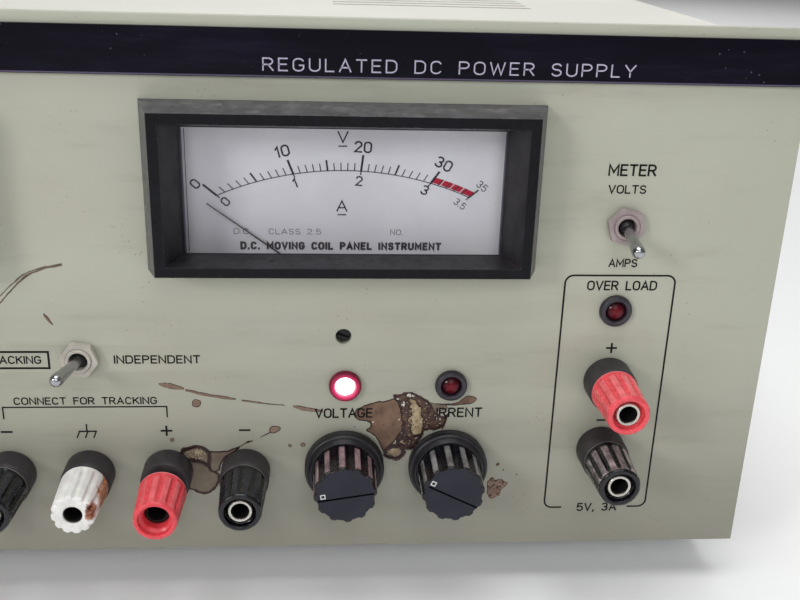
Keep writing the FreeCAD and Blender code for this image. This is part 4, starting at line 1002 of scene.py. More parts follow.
def make_post(idx, x, z, out, colour, body, tag):
    col = lathe([(2.97, 0.0), (5.95, 0.0), (6.05, 0.25), (6.05, 1.0), (6.0, 5.9), (5.93, 6.5), (5.7, 6.82), (5.4, 6.9), (3.6, 6.9), (3.4, 6.8),
                 (2.97, 6.8)], 96, ring=True)
    c = piece("collar_" + tag, *col, M["collar"], at=P(x, 0, z), slot="collar_grey")
    tube = lathe([(0, -8.0), (2.4, -8.0), (2.95, -7.5), (2.95, 18.5), (2.88, 18.72), (2.72, 18.86), (2.38, 18.86), (2.16, 18.75), (2.05, 18.5),
                  (2.05, 5.0), (0, 4.4)], 64)
    me = bpy.data.meshes.new("stud_" + tag)
    me.from_pydata(tube[0], [], tube[1])
    idx = []
    # faces inside the bore get the near-black painted-shade material
    for f in me.polygons:
        h = sum(-tube[0][i][1] for i in f.vertices) / len(f.vertices) * 1e3
        r = sum(math.hypot(tube[0][i][0], tube[0][i][2]) for i in f.vertices) / len(f.vertices) * 1e3
        idx.append(1 if (r < 2.08 and 4.0 < h < 18.6) else 0)
    me.polygons.foreach_set("material_index", idx)
    t = finish_mesh("stud_" + tag, me, [M["tube_dark"] if tag == "r_r" else M["tube_dirty"] if tag == "g_w" else M["tube"], M["bore"]], at=P(x, 0, z), slot="chrome_bright")
    white = tag[-1] == "w"
    rl = lathe([(5.45, 7.02), (5.66, 7.1), (5.70, 7.3), (5.66, 7.42), (5.45, 7.42)], 96, ring=True)
    if not white:
        piece("cap_edge_" + tag, *rl, M["edge_red"] if tag[-1] == "r" else M["edge_grey"], body=body, at=P(x, -out, z),
              slot={"r": "cap_red", "b": "cap_black"}[tag[-1]])
    fl = fluted(0.50 if white else 0.42, 0.62, 12, 7.7, 19.9, nose=1.0 if white else 0.12, fade=3.0, sharp=0.8, turned=0.13)

    def shape(r, h, a):
        if r <= 4.3:
            return r
        r = fl(r, h, a)
        if white and h > 16.6:
            t = max(0.0, 1.0 - abs(((math.degrees(a) + 180.0) % 360.0 - 180.0) - 12.0) / 24.0)
            r -= 0.75 * min(1.0, t * 2.4) * min(1.0, (h - 16.6) / 0.7) * (1.0 + 0.3 * math.sin(a * 31.0))
        return r

    v, f = lathe(cap_profile({"r_r": 3.9, "t_r": 3.72}.get(tag, 3.75), white), 240, ring=True, fn=shape)
    cap = piece("post_cap_" + tag, v, f, colour, body=body, at=P(x, -out, z), rot=turn(7.0 * (x % 5)), smooth=40,
                slot={"r": "cap_red", "b": "cap_black", "w": "cap_white"}[tag[-1]])
    return c, t, cap


tags = [("left_red", "l_r", "cap_red"), ("left_black", "l_b", "cap_black"), ("ground_white", "g_w", "cap_white_stained"),
        ("right_red", "r_r", "cap_red"), ("right_black", "r_b", "cap_black"), ("third_red", "t_r", "cap_red_pale"),
        ("third_black", "t_b", "cap_black_worn")]
for i, ((x, z, out), (key, tag, col)) in enumerate(zip(POSTS, tags)):
    c, t, cap = make_post(i, x, z, out, M[col], "cap_%s_body" % key, tag)
    if i == 0:
        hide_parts("post_collars")
        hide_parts("post_studs")
    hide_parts("cap_" + key)


# ---------------------------------------------------------------- knobs
def knob_profile():
    p = [(6.4, 0.6), (9.7, 0.6), (9.9, 0.8), (9.9, 1.7), (9.8, 1.8), (9.8, 2.0), (9.9, 2.1), (9.9, 3.05), (9.8, 3.35), (9.5, 3.6),
         (9.25, 3.66), (9.12, 3.55), (9.0, 3.55), (8.88, 3.7), (8.52, 4.52), (8.38, 4.68), (8.2, 4.70), (8.08, 4.6), (7.95, 4.2), (7.72, 4.2)]
    for k in range(1, 13):
        p.append((7.72 - 0.10 * k / 12.0, 4.2 + (14.2 - 4.2) * k / 12.0))
    p += [(7.60, 14.4), (7.52, 14.6), (7.42, 14.7), (7.3, 14.72), (6.75, 14.72), (6.62, 14.65), (6.6, 14.5), (6.6, 13.6), (0, 13.6)]
    return p


def knob_back():
    return [(0, 12.8), (3.05, 12.8), (3.05, 7.0), (6.4, 7.0)]


for key, x, ang in KNOBS:
    body = "knob_%s_body" % key
    fl = fluted(0.95, 0.70, 12, 3.2, 14.9, nose=0.80, fade=1.0, sharp=0.5)
    v, f = lathe(knob_back() + knob_profile(), 360, fn=lambda r, h, a: fl(r, h, a) if 7.05 < r < 7.75 else r)
    me = bpy.data.meshes.new("knob_" + key)
    me.from_pydata(v, [], f)
    idx = []
    for p in me.polygons:
        h = sum(-v[i][1] for i in p.vertices) / len(p.vertices) * 1e3
        r = sum(math.hypot(v[i][0], v[i][2]) for i in p.vertices) / len(p.vertices) * 1e3
        idx.append(1 if (h < 4.74 and r > 7.8) else 0)
    me.polygons.foreach_set("material_index", idx)
    kn = finish_mesh("control_knob_" + key, me, [M["knob_warm" if "voltage" in key else "knob"], M["skirt"]], body=body, at=P(x, 0, 36.3), rot=turn(ang + 9), smooth=38,
                     slot="knob_black")
    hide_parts("knob_" + key)
    dv, df = lathe([(0, 13.65), (6.5, 13.65), (6.55, 13.7), (6.58, 14.72), (6.86, 14.73), (6.93, 14.76), (6.86, 14.79), (6.75, 14.80), (0, 14.80)], 120)
    dc = piece("control_disc_" + key, dv, df, M["disc"], body=body, at=P(x, 0, 36.3), rot=turn(ang), smooth=30, slot="knob_disc")
    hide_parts("knob_disc_" + key)
    # line across the disc and a small open square beside its pointer end
    h = 14.80
    if "voltage" in key:
        line, sq = ((-6.62, -1.65), (6.8, 0.44)), (-5.35, -0.35)
    else:
        line, sq = ((-6.0, 2.15), (5.9, -3.9)), (-4.95, 3.0)
    ribbon("knob_line_" + key, [line[0], line[1]], 0.46, -h, 0.03, M["disc_line"], body=body, at=P(x, 0, 36.3), slot="knob_disc")
    d = Vector(line[1]) - Vector(line[0])
    d.normalize()
    nrm = Vector((-d.y, d.x))
    c = Vector(sq)
    q = [c + d * a + nrm * b for a, b in ((-0.5, -0.5), (0.5, -0.5), (0.5, 0.5), (-0.5, 0.5))]
    ribbon("knob_square_" + key, [tuple(p) for p in q], 0.26, -h, 0.03, M["white_mark"], closed=True, body=body, at=P(x, 0, 36.3),
           slot="knob_disc")

# ---------------------------------------------------------------- lamps
for i, (x, z, lit) in enumerate(LAMPS):
    v, f = lathe([(2.42, -6.0), (3.1, -6.0), (3.1, 0.0), (3.9, 0.0), (3.95, 0.2), (3.92, 0.95), (3.75, 1.35), (3.45, 1.58), (3.15, 1.65),
                  (2.85, 1.6), (2.62, 1.42), (2.5, 1.1), (2.46, 0.6)], 80, ring=True)
    rim = piece("lamp_rim_%d" % i, v, f, M["lamp_rim_lit"] if lit else M["lamp_rim"], at=P(x, 0, z), slot="black_plastic")
    top = 0.75
    R = (2.35 ** 2 + 1.05 ** 2) / (2 * 1.05)
    dome = [(2.35, -5.5), (2.35, top - 0.1)] + [(2.35 * k / 10.0, top - (R - 1.05) + math.sqrt(R * R - (2.35 * k / 10.0) ** 2))
                                               for k in range(10, 0, -1)] + [(0, top + 1.05)]
    v, f = lathe([(0, -5.5)] + dome, 64)
    lens = piece("lamp_lens_%d" % i, v, f, M["lamp_lit"] if lit else M["lamp_dark"], at=P(x, 0, z),
                 slot="lamp_lit_red" if lit else "lamp_dark_red")
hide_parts("lamp_bezels")
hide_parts("lamps_lit")
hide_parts("lamps_dark")


# ---------------------------------------------------------------- toggle switches
def hexfn(flat):
    def fn(r, h, a):
        k = (a % (math.pi / 3)) - math.pi / 6
        return min(r, flat / math.cos(k))
    return fn


for i, (key, x, z, ang) in enumerate(TOGGLES):
    v, f = lathe([(2.12, -3.0), (3.0, -3.0), (3.0, 2.0), (2.92, 2.3), (2.78, 2.45), (2.5, 2.5), (2.28, 2.42), (2.12, 2.15)], 72, ring=True)
    bush = piece("toggle_bushing_" + key, v, f, M["nut_pale" if key == "tracking" else "nut_pink"], at=P(x, 0, z), slot="chrome_bright")
    me = curve_mesh([rect_pts(-4, -6.5, 4, 6.5, 0.6)] if key != "tracking" else [rect_pts(-6.5, -4, 6.5, 4, 0.6)], 4.725 - 0.2, 0.2, 1)
    shift_mesh(me, x=x, y=2.55 + 4.725 + DY, z=z)
    bx = finish_mesh("toggle_case_" + key, me, M["black_part"], slot="black_plastic", smooth=30)
    hexa = lathe([(3.03, 0.25), (4.45, 0.25), (4.62, 0.36), (4.62, 1.82), (4.45, 1.94), (4.3, 2.0), (3.3, 2.0), (3.14, 1.95), (3.03, 1.85)], 144,
                 ring=True, fn=hexfn(4.0))
    nut = piece("toggle_nut_" + key, *hexa, M["nut_pale" if key == "tracking" else "nut_pink"], at=P(x, 0, z), rot=turn(ang), slot="chrome_bright", smooth=24)
    lev = lathe([(0, -1.6), (1.2, -1.4), (1.9, -0.5), (1.95, 0.0), (1.6, 0.9), (1.18, 1.5), (1.18, 4.0), (1.24, 5.5), (1.38, 8.0), (1.51, 10.2),
                 (1.56, 11.1), (1.50, 11.7), (1.34, 12.15), (1.08, 12.5), (0.72, 12.73), (0.36, 12.83), (0, 12.85)], 56)
    q = turn(13.0, (0, 0, -1)) if key == "tracking" else turn(13.0, (1, 0, 0))
    me = bpy.data.meshes.new("lever_" + key)
    me.from_pydata(lev[0], [], lev[1])
    me.polygons.foreach_set("material_index", [1 if sum(-lev[0][i][1] for i in f.vertices) / len(f.vertices) < 1.4e-3 else 0
                                               for f in me.polygons])
    lv = finish_mesh("toggle_lever_" + key, me, [M["lever"], M["boot"]], body="lever_%s_body" % key, at=P(x, -1.0, z), rot=q,
                     slot="chrome_bright")
    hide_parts("lever_" + key)
    if i == 0:
        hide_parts("toggle_bodies")
        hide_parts("toggle_nuts")


# ---------------------------------------------------------------- printed legends
INK = dict(mat=M["ink"], y=-0.03, thick=0.03, weight=0.16)


def sign(name, x, z, plus=True, w=3.0, t=0.5):
    ribbon(name + "_h", [(x - w / 2, z), (x + w / 2, z)], t, -0.02, 0.04, M["ink"], slot="panel_paint")
    if plus:
        ribbon(name + "_v", [(x, z - w / 2), (x, z + w / 2)], t, -0.015, 0.03, M["ink"], slot="panel_paint")


label("text_nameplate", "REGULATED DC POWER SUPPLY", 2.85, z=133.7, x0=44.2, x1=125.9, y=-1.02, mat=M["ink_pale"], weight=0.105,
      thick=0.04, gap=0.34, slot="strip_black")
for kx, tag in ((62.7, "rv"), (-88.7, "lv")):
    label("text_voltage_" + tag, "VOLTAGE", 2.7, z=49.3, x0=kx - 7.4, x1=kx + 6.9, **INK)
for kx, tag in ((88.7, "rc"), (-62.7, "lc")):
    label("text_current_" + tag, "CURRENT", 2.7, z=49.3, x0=kx - 7.3, x1=kx + 8.25, **INK)
for tx, tag in ((127.7, "r"), (-127.7, "l")):
    label("text_meter_" + tag, "METER", 2.85, z=111.25, x0=tx - 5.3, x1=tx + 6.0, **INK)
    label("text_volts_" + tag, "VOLTS", 2.1, z=107.1, x0=tx - 4.9, x1=tx + 4.1, **INK)
    label("text_amps_" + tag, "AMPS", 2.1, z=89.1, x0=tx - 2.9, x1=tx + 4.1, **INK)
label("text_overload", "OVER LOAD", 2.5, z=83.2, x0=120.2, x1=137.3, **INK)
label("text_fixed", "5V, 3A", 2.5, z=21.4, x0=123.45, x1=134.1, **INK)
label("text_independent", "INDEPENDENT", 2.2, z=64.2, x0=7.8, x1=28.1, **INK)
label("text_tracking", "TRACKING", 2.1, z=64.2, x0=-22.3, x1=-9.0, **INK)
label("text_connect", "CONNECT FOR TRACKING", 2.0, z=53.4, x0=-16.6, x1=17.3, **INK)
label("text_power", "POWER", 2.5, z=83.2, x0=-133.4, x1=-122.0, **INK)
label("text_on", "ON", 2.1, z=66.3, x0=-129.9, x1=-125.7, **INK)
label("text_off", "OFF", 2.1, z=35.8, x0=-130.3, x1=-125.1, **INK)
ribbon("box_tracking", [(-24.2, 63.1), (-7.3, 63.1), (-7.3, 67.3), (-24.2, 67.3)], 0.5, -0.02, 0.04, M["ink"], closed=True, slot="panel_paint")
ribbon("bracket", [(-19.3, 49.6), (-19.3, 52.75), (19.5, 52.75), (19.5, 49.8)], 0.34, -0.02, 0.04, M["ink"], slot="panel_paint")


def output_box(name, s, x0, x1, z0, z1, gap=None):
    r, pts = 2.0, []
    if gap:
        start, end = gap
        corners = [(x0 + r, z0 + r, 270, 180), (x0 + r, z1 - r, 180, 90), (x1 - r, z1 - r, 90, 0), (x1 - r, z0 + r, 0, -90)]
        pts.append((start, z0))
        for cx, cz, a0, a1 in corners:
            for i in range(9):
                a = math.radians(a0 + (a1 - a0) * i / 8.0)
                pts.append((cx + r * math.cos(a), cz + r * math.sin(a)))
        pts.append((end, z0))
        ribbon(name, pts, 0.44, -0.02, 0.04, M["ink"], slot="panel_paint")
    else:
        ribbon(name, rect_pts(x0, z0, x1, z1, r, 8), 0.44, -0.02, 0.04, M["ink"], closed=True, slot="panel_paint")


output_box("box_fixed_output", 1, 114.8, 141.6, 22.7, 87.0, gap=(119.4, 136.8))
output_box("box_power", -1, -141.6, -113.8, 22.7, 87.0)
sign("sign_rb_minus", 38.1, 46.1, False, 2.8)
sign("sign_rr_plus", 19.1, 46.1, True, 2.8)
sign("sign_lb_minus", -19.05, 46.1, False, 2.8)
sign("sign_lr_plus", -38.1, 46.1, True, 2.8)
sign("sign_fix_plus", 127.9, 68.1, True, 2.7)
sign("sign_fix_minus", 127.3, 48.2, False, 2.3)
# chassis sign over the ground post
ribbon("sign_gnd_stem", [(0.0, 46.1), (0.0, 48.1)], 0.36, -0.02, 0.04, M["ink"], slot="panel_paint")
ribbon("sign_gnd_bar", [(-2.0, 46.1), (2.4, 46.1)], 0.40, -0.015, 0.03, M["ink"], slot="panel_paint")
for i, dx in enumerate((-1.9, 0.1, 2.1)):
    ribbon("sign_gnd_leg_%d" % i, [(dx + 0.1, 46.0), (dx - 0.6, 44.3)], 0.34, -0.02, 0.035, M["ink"], slot="panel_paint")


# ---------------------------------------------------------------- age marks
STAINS = {
    "film": [(67.1, 52.34), (69.18, 53.19), (70.93, 53.67), (72.03, 53.67), (73.78, 54.15), (75.1, 54.38), (75.77, 53.89), (76.71, 52.28), (77.0, 49.8), (77.07, 47.8), (76.9, 45.79), (76.05, 44.29), (74.98, 42.78), (74.12, 41.26), (73.25, 39.99), (72.7, 39.49), (72.11, 40.77), (71.17, 42.81), (69.78, 44.85), (68.21, 45.87), (69.19, 46.86), (68.83, 48.12), (67.27, 48.63), (65.94, 48.89), (65.26, 50.38), (65.9, 51.61)],
    "crust": [(74.97, 54.88), (76.39, 55.36), (77.7, 55.84), (79.69, 55.58), (81.27, 54.72), (82.64, 53.85), (83.58, 52.48), (84.51, 51.49), (85.0, 50.49), (86.37, 49.73), (87.51, 49.22), (87.15, 47.22), (85.85, 46.22), (83.83, 46.11), (82.5, 45.75), (81.64, 44.74), (81.25, 43.23), (80.62, 41.96), (79.53, 40.95), (78.18, 40.71), (77.03, 41.74), (75.88, 42.51), (76.29, 43.78), (77.15, 45.04), (77.54, 46.79), (76.82, 48.55), (76.77, 50.3), (76.26, 52.28), (75.56, 53.77)],
    "cream": [(78.84, 54.73), (79.96, 54.23), (80.67, 53.0), (81.59, 52.25), (81.77, 50.26), (82.16, 48.76), (82.45, 47.26), (82.05, 45.75), (81.43, 44.49), (80.08, 44.5), (79.14, 45.77), (79.31, 47.28), (78.16, 48.54), (78.58, 49.29), (79.21, 50.28), (78.72, 51.77), (78.45, 53.26)],
    "cream2": [(76.32, 42.76), (77.64, 43.77), (78.77, 43.5), (79.26, 42.23), (78.39, 41.22), (77.26, 41.48)],
    "ring": [(72.81, 39.74), (73.68, 41.01), (75.46, 41.5), (77.28, 40.72), (77.56, 39.18), (76.91, 38.16), (75.57, 37.53), (74.21, 37.93), (73.06, 38.46)],
    "leaf": [(85.11, 53.09), (87.56, 52.95), (89.78, 53.11), (91.1, 53.55), (92.15, 54.65), (93.24, 55.14), (94.59, 54.89), (95.19, 54.27), (94.45, 53.4), (93.14, 52.97), (91.14, 52.81), (89.81, 52.64)],
    "olive": [(80.83, 54.72), (82.64, 53.72), (84.66, 53.09), (87.13, 52.58), (88.04, 52.21), (87.85, 51.46), (85.86, 51.1), (84.75, 50.99), (83.59, 52.24)],
    "flakes": [(77.23, 53.26, 1.45), (78.38, 55.22, 1.25), (77.63, 51.04, 0.54), (82.67, 52.98, 0.71), (77.93, 48.67, 0.71), (83.5, 48.88, 0.91), (82.33, 50.26, 0.83), (84.89, 47.74, 0.75), (79.49, 55.22, 0.62), (80.19, 47.78, 1.04)],
    "right_patch": [(99.63, 30.54), (100.69, 31.83), (101.5, 30.95), (102.62, 31.37), (104.61, 30.04), (103.2, 28.31), (102.55, 26.57), (100.69, 25.71), (99.63, 27.49)],
    "right_dots": [(100.55, 30.97, 1.71), (101.77, 35.7, 1.02), (103.39, 34.04, 0.55), (106.91, 32.62, 0.55), (100.69, 25.71, 0.55), (65.15, 46.77, 0.34)],
    "low_ring_line": [(22.42, 39.91), (23.87, 41.11), (26.24, 41.71), (28.08, 41.07), (29.15, 39.71), (29.18, 37.94), (28.82, 36.03), (29.71, 34.65), (31.22, 33.67), (31.28, 32.15), (30.5, 30.22), (29.01, 28.7), (27.09, 28.25), (24.99, 29.32), (23.51, 30.73)],
    "low_ring_fill": [(22.42, 39.91), (23.87, 41.11), (26.24, 41.71), (28.08, 41.07), (29.15, 39.71), (29.18, 37.94), (28.82, 36.03), (29.71, 34.65), (31.22, 33.67), (31.28, 32.15), (30.5, 30.22), (29.01, 28.7), (27.09, 28.25), (24.99, 29.32), (23.51, 30.73), (23.99, 33.35), (23.64, 36.1), (22.56, 38.02)],
    "low_crust": [(22.31, 40.18), (23.88, 41.19), (26.24, 41.76), (28.2, 41.07), (29.2, 39.71), (29.23, 37.4), (28.6, 36.31), (27.22, 37.15), (25.58, 37.44), (24.55, 37.99), (23.93, 37.18), (23.04, 38.28)],
    "low_cream": [(25.01, 40.29), (26.43, 40.82), (27.68, 39.86), (27.87, 38.77), (26.79, 38.24), (25.52, 38.8)],
    "neck": [(29.2, 39.84), (31.79, 40.03), (33.92, 40.28), (35.59, 40.99), (36.53, 41.25), (34.6, 39.65), (32.92, 38.44), (31.92, 36.82), (31.26, 34.77), (29.71, 34.65), (29.2, 36.58)],
    "neck_line": [(29.21, 39.98, 0.22), (31.8, 40.14, 0.27), (33.92, 40.33, 0.31), (35.59, 40.99, 0.31), (37.02, 41.65, 0.27), (38.21, 42.45, 0.22), (38.93, 42.85, 0.58), (40.11, 43.18, 0.11)],
    "tad_tail": [(41.89, 44.03, 0.22), (43.2, 44.82, 0.31), (44.39, 45.48, 0.4)],
    "tad_head": [(44.16, 46.15), (44.88, 47.08), (46.52, 46.93), (46.79, 46.26), (45.8, 45.47), (44.62, 45.29)],
    "dots": [(49.17, 41.66, 0.89), (52.37, 41.9, 1.33), (20.27, 43.56, 0.98), (26.7, 53.52, 2.58)],
    "streak1": [(17.92, 58.77, 0.25), (19.18, 58.55, 1.25), (20.6, 58.26, 1.62), (22.17, 57.9, 1.25), (23.9, 57.53, 0.37)],
    "streak2": [(24.16, 57.15, 0.44), (25.97, 56.71, 0.67), (28.0, 56.1, 0.78), (30.73, 55.57, 0.67), (33.47, 55.04, 0.89), (35.07, 54.77, 0.53), (36.22, 54.63, 0.18)],
    "streak3": [(37.59, 54.29, 0.4), (41.05, 53.74, 0.4), (43.82, 53.28, 0.22), (48.0, 52.86, 0.09)],
    "streak4": [(49.98, 52.59, 0.31), (51.26, 52.32, 0.89), (52.66, 51.91, 1.16), (55.94, 51.36, 0.89), (57.35, 51.09, 0.44)],
    "small_leaf": [(-7.37, 76.92, 0.31), (-6.71, 75.91, 1.06), (-6.04, 74.9, 0.62), (-5.49, 74.22, 0.19)],
    "arc_a": [(-17.9, 78.66, 0.3), (-14.86, 81.88, 0.5), (-12.33, 84.58, 0.6), (-9.9, 86.54, 0.7), (-5.95, 88.25, 0.6), (-2.08, 89.09, 1.0)],
    "arc_b": [(-17.71, 80.39, 0.25), (-14.7, 83.35, 0.35), (-11.73, 86.05, 0.4), (-8.9, 87.63, 0.35), (-5.46, 88.74, 0.3)],
}


def smooth_loop(pts, jitter=0.12, steps=4, closed=True):
    """A softened outline through the measured points, with small seeded irregularity."""
    out = []
    n = len(pts)
    rngi = range(n) if closed else range(n - 1)
    for i in rngi:
        p0, p1 = Vector(pts[(i - 1) % n] if closed else pts[max(0, i - 1)]), Vector(pts[i])
        p2, p3 = Vector(pts[(i + 1) % n]), Vector(pts[(i + 2) % n] if closed else pts[min(n - 1, i + 2)])
        for k in range(steps):
            t = k / steps
            q = 0.5 * ((2 * p1) + (p2 - p0) * t + (2 * p0 - 5 * p1 + 4 * p2 - p3) * t * t + (3 * p1 - p0 - 3 * p2 + p3) * t ** 3)
            w = noise.noise(Vector((q.x * 0.9, q.y * 0.9, 3.3))) + 0.6 * noise.noise(Vector((q.x * 2.7, q.y * 2.7, 8.1)))
            v = noise.noise(Vector((q.x * 0.9 + 40, q.y * 0.9, 3.3))) + 0.6 * noise.noise(Vector((q.x * 2.7 + 40, q.y * 2.7, 8.1)))
            out.append((q.x + w * jitter, q.y + v * jitter))
    if not closed:
        out.append(tuple(pts[-1]))
    return out


def xy(pts):
    return [(p[0], p[1]) for p in pts]


def decal(name, pts, y, thick, mat, jitter=0.15, rim=None, rim_w=0.25, steps=4):
    lp = smooth_loop(xy(pts), jitter, steps)
    me = curve_mesh([lp], thick / 2)
    shift_mesh(me, y=DY - y - thick / 2)
    ob = finish_mesh(name, me, mat, slot="panel_paint", smooth=0)
    if rim:
        ws = [rim_w * (0.65 + 0.7 * (0.5 + 0.5 * noise.noise(Vector((p[0] * 1.1, p[1] * 1.1, 1.7))))) for p in lp]
        ribbon(name + "_rim", lp, ws, -y, thick + 0.02, rim, closed=True, slot="panel_paint")
    return ob


def stroke(name, pts, y, thick, mat, jitter=0.10, steps=4):
    c = smooth_loop(xy(pts), jitter, steps, closed=False)
    w = []
    for i in range(len(pts) - 1):
        for k in range(steps):
            t = k / steps
            w.append(pts[i][2] * (1 - t) + pts[i + 1][2] * t)
    w.append(pts[-1][2])
    w = [a * (0.8 + 0.5 * noise.noise(Vector((p[0] * 1.7, p[1] * 1.7, 5.5)))) for a, p in zip(w, c)]
    ribbon(name, c, w, -y, thick, mat, slot="panel_paint")


def inside(pt, poly):
    x, z = pt
    hit = False
    for i in range(len(poly)):
        x0, z0 = poly[i - 1]
        x1, z1 = poly[i]
        if (z0 > z) != (z1 > z) and x < (x1 - x0) * (z - z0) / (z1 - z0) + x0:
            hit = not hit
    return hit


def edge_dist(pt, poly):
    p = Vector(pt)
    best = 1e9
    for i in range(len(poly)):
        a, b = Vector(poly[i - 1]), Vector(poly[i])
        ab = b - a
        t = max(0.0, min(1.0, (p - a).dot(ab) / max(ab.length_squared, 1e-9)))
        best = min(best, (p - (a + ab * t)).length)
    return best


def crust(name, pts, base, high, mats, mat_fn, step=0.32, seed=0.0, jitter=0.3):
    """A lumpy dried deposit inside an outline, standing on the panel, closed at the back."""
    poly = smooth_loop(xy(pts), jitter, 3)
    x0, x1 = min(p[0] for p in poly), max(p[0] for p in poly)
    z0, z1 = min(p[1] for p in poly), max(p[1] for p in poly)
    nx, nz = int((x1 - x0) / step) + 1, int((z1 - z0) / step) + 1
    cells = set()
    for i in range(nx):
        for k in range(nz):
            if inside((x0 + (i + 0.5) * step, z0 + (k + 0.5) * step), poly):
                cells.add((i, k))
    verts, index, faces, idx = [], {}, [], []

    def vert(i, k, top):
        key = (i, k, top)
        if key not in index:
            px, pz = x0 + i * step, z0 + k * step
            full = all((i + a, k + b) in cells for a in (-1, 0) for b in (-1, 0))
            n1 = noise.noise(Vector((px * 0.9 + seed, pz * 0.9, 0.3)))
            n2 = noise.noise(Vector((px * 2.6, pz * 2.6 + seed, 4.3)))
            h = base
            if top:
                d = min(1.0, edge_dist((px, pz), poly) / 1.2) if full else 0.0
                h = base + 0.03 + high * max(0.0, 0.45 + 0.55 * n1 + 0.55 * n2) * d
            jx, jz = noise.noise(Vector((px * 3.1, pz * 3.1, 9 + seed))) * step * 0.45, noise.noise(Vector((px * 3.1, pz * 3.1, 19 + seed))) * step * 0.45
            index[key] = len(verts)
            verts.append(P(px + jx, -h, pz + jz))
        return index[key]

    for (i, k) in sorted(cells):
        t = [vert(i, k, True), vert(i + 1, k, True), vert(i + 1, k + 1, True), vert(i, k + 1, True)]
        b = [vert(i, k, False), vert(i + 1, k, False), vert(i + 1, k + 1, False), vert(i, k + 1, False)]
        px, pz = x0 + (i + 0.5) * step, z0 + (k + 0.5) * step
        m = mat_fn(px, pz)
        faces.append(tuple(t)); idx.append(m)
        faces.append(tuple(reversed(b))); idx.append(m)
        for (di, dk), (a, c) in (((0, -1), (0, 1)), ((1, 0), (1, 2)), ((0, 1), (2, 3)), ((-1, 0), (3, 0))):
            if (i + di, k + dk) not in cells:
                faces.append((t[c], t[a], b[a], b[c])); idx.append(m)
    me = bpy.data.meshes.new(name)
    me.from_pydata([tuple(v) for v in verts], [], faces)
    me.polygons.foreach_set("material_index", idx)
    me.update()
    bm = bmesh.new()
    bm.from_mesh(me)
    bmesh.ops.recalc_face_normals(bm, faces=bm.faces)
    bm.to_mesh(me)
    bm.free()
    me.polygons.foreach_set("use_smooth", [True] * len(me.polygons))
    me.set_sharp_from_angle(angle=math.radians(50))
    ob = bpy.data.objects.new(name, me)
    scene.collection.objects.link(ob)
    for x in mats:
        me.materials.append(x)
    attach(ob, "chassis")
    return ob


def swell(pts, k):
    cx_ = sum(p[0] for p in pts) / len(pts)
    cz_ = sum(p[1] for p in pts) / len(pts)
    return [(cx_ + (p[0] - cx_) * k,) + (cz_ + (p[1] - cz_) * k,) + tuple(p[2:]) for p in pts]


decal("stain_under", swell(STAINS["crust"], 1.08), 0.0, 0.012, M["film_under"], 0.35)
decal("stain_under_small", swell(STAINS["cream2"], 1.32), 0.0, 0.012, M["film_under"], 0.3, M["crust_edge"], 0.8)
decal("stain_film", STAINS["film"], 0.0, 0.015, M["film_tan"], 0.2, M["film_rim"], 0.34)
decal("stain_leaf", STAINS["leaf"], 0.0, 0.018, M["film_tan"], 0.12, M["film_rim"], 0.24)
decal("stain_olive", STAINS["olive"], 0.0, 0.022, M["film_pale"], 0.1, M["film_rim_soft"], 0.2)
decal("stain_right_patch", STAINS["right_patch"], 0.0, 0.02, M["film_warm"], 0.25, M["film_rim"], 0.22)
patch = smooth_loop(xy(STAINS["right_patch"]), 0.2, 3)
crust("crust_right", STAINS["right_patch"], 0.02, 0.10, [M["film_warm"], M["crust"], M["film_pale"]],
      lambda x, z: 1 if noise.noise(Vector((x * 1.6, z * 1.6, 12.0))) > 0.12 else (2 if noise.noise(Vector((x * 1.9, z * 1.9, 16.0))) > 0.12 else 0),
      0.2, 31.0, 0.25)
cream = smooth_loop(xy(STAINS["cream"]), 0.25, 3)
crust_edge = smooth_loop(xy(STAINS["crust"]), 0.3, 3)


def crust_mix(x, z):
    """Cream in the middle with dark cracks, dark toward the rim with pale crumbs."""
    a = noise.noise(Vector((x * 1.9, z * 1.9, 2.2))) + 0.6 * noise.noise(Vector((x * 4.3, z * 4.3, 6.2)))
    if inside((x, z), cream):
        d = edge_dist((x, z), cream)
        return 0 if a > 0.30 + 0.25 * min(d, 1.0) else (2 if a < -0.62 else 1)
    d = edge_dist((x, z), cream)
    if a > 0.62 - 0.12 * max(0.0, 1.5 - d):
        return 1
    return 2 if a < -0.70 else 0


crust("crust_main", STAINS["crust"], 0.01, 0.42, [M["crust"], M["cream"], M["flake"]],
      crust_mix, 0.19, 0.0)
edge_pts = smooth_loop(xy(swell(STAINS["crust"], 1.02)), 0.5, 4)
ribbon("crust_outer_edge", edge_pts, [0.42 + 0.75 * max(-0.4, noise.noise(Vector((p[0] * 0.9, p[1] * 0.9, 3.1)))) for p in edge_pts], 0.0, 0.16,
       M["crust_edge"], closed=True, slot="panel_paint")
vein = smooth_loop(xy(STAINS["cream"]), 0.5, 4)
ribbon("crust_vein_0", vein, [0.20 + 0.5 * max(-0.2, noise.noise(Vector((p[0] * 1.3, p[1] * 1.3, 8.1)))) for p in vein], 0.0, 0.40,
       M["crust_edge"], closed=True, slot="panel_paint")
small_edge = smooth_loop(xy(swell(STAINS["cream2"], 1.12)), 0.3, 4)
ribbon("crust_small_edge", small_edge, [0.26 + 0.3 * noise.noise(Vector((p[0] * 1.2, p[1] * 1.2, 15.1))) for p in small_edge], 0.0, 0.42,
       M["crust_edge"], closed=True, slot="panel_paint")
crust("crust_cream_small", STAINS["cream2"], 0.02, 0.35, [M["cream"]], lambda x, z: 0, 0.28, 5.0, 0.15)
ring = smooth_loop(xy(STAINS["ring"]), 0.3, 3)


def ring_mix(x, z):
    a = noise.noise(Vector((x * 2.3, z * 2.3, 4.2)))
    d = edge_dist((x, z), ring)
    return 0 if d < 0.75 + 0.5 * a else (1 if a > -0.1 else 2)


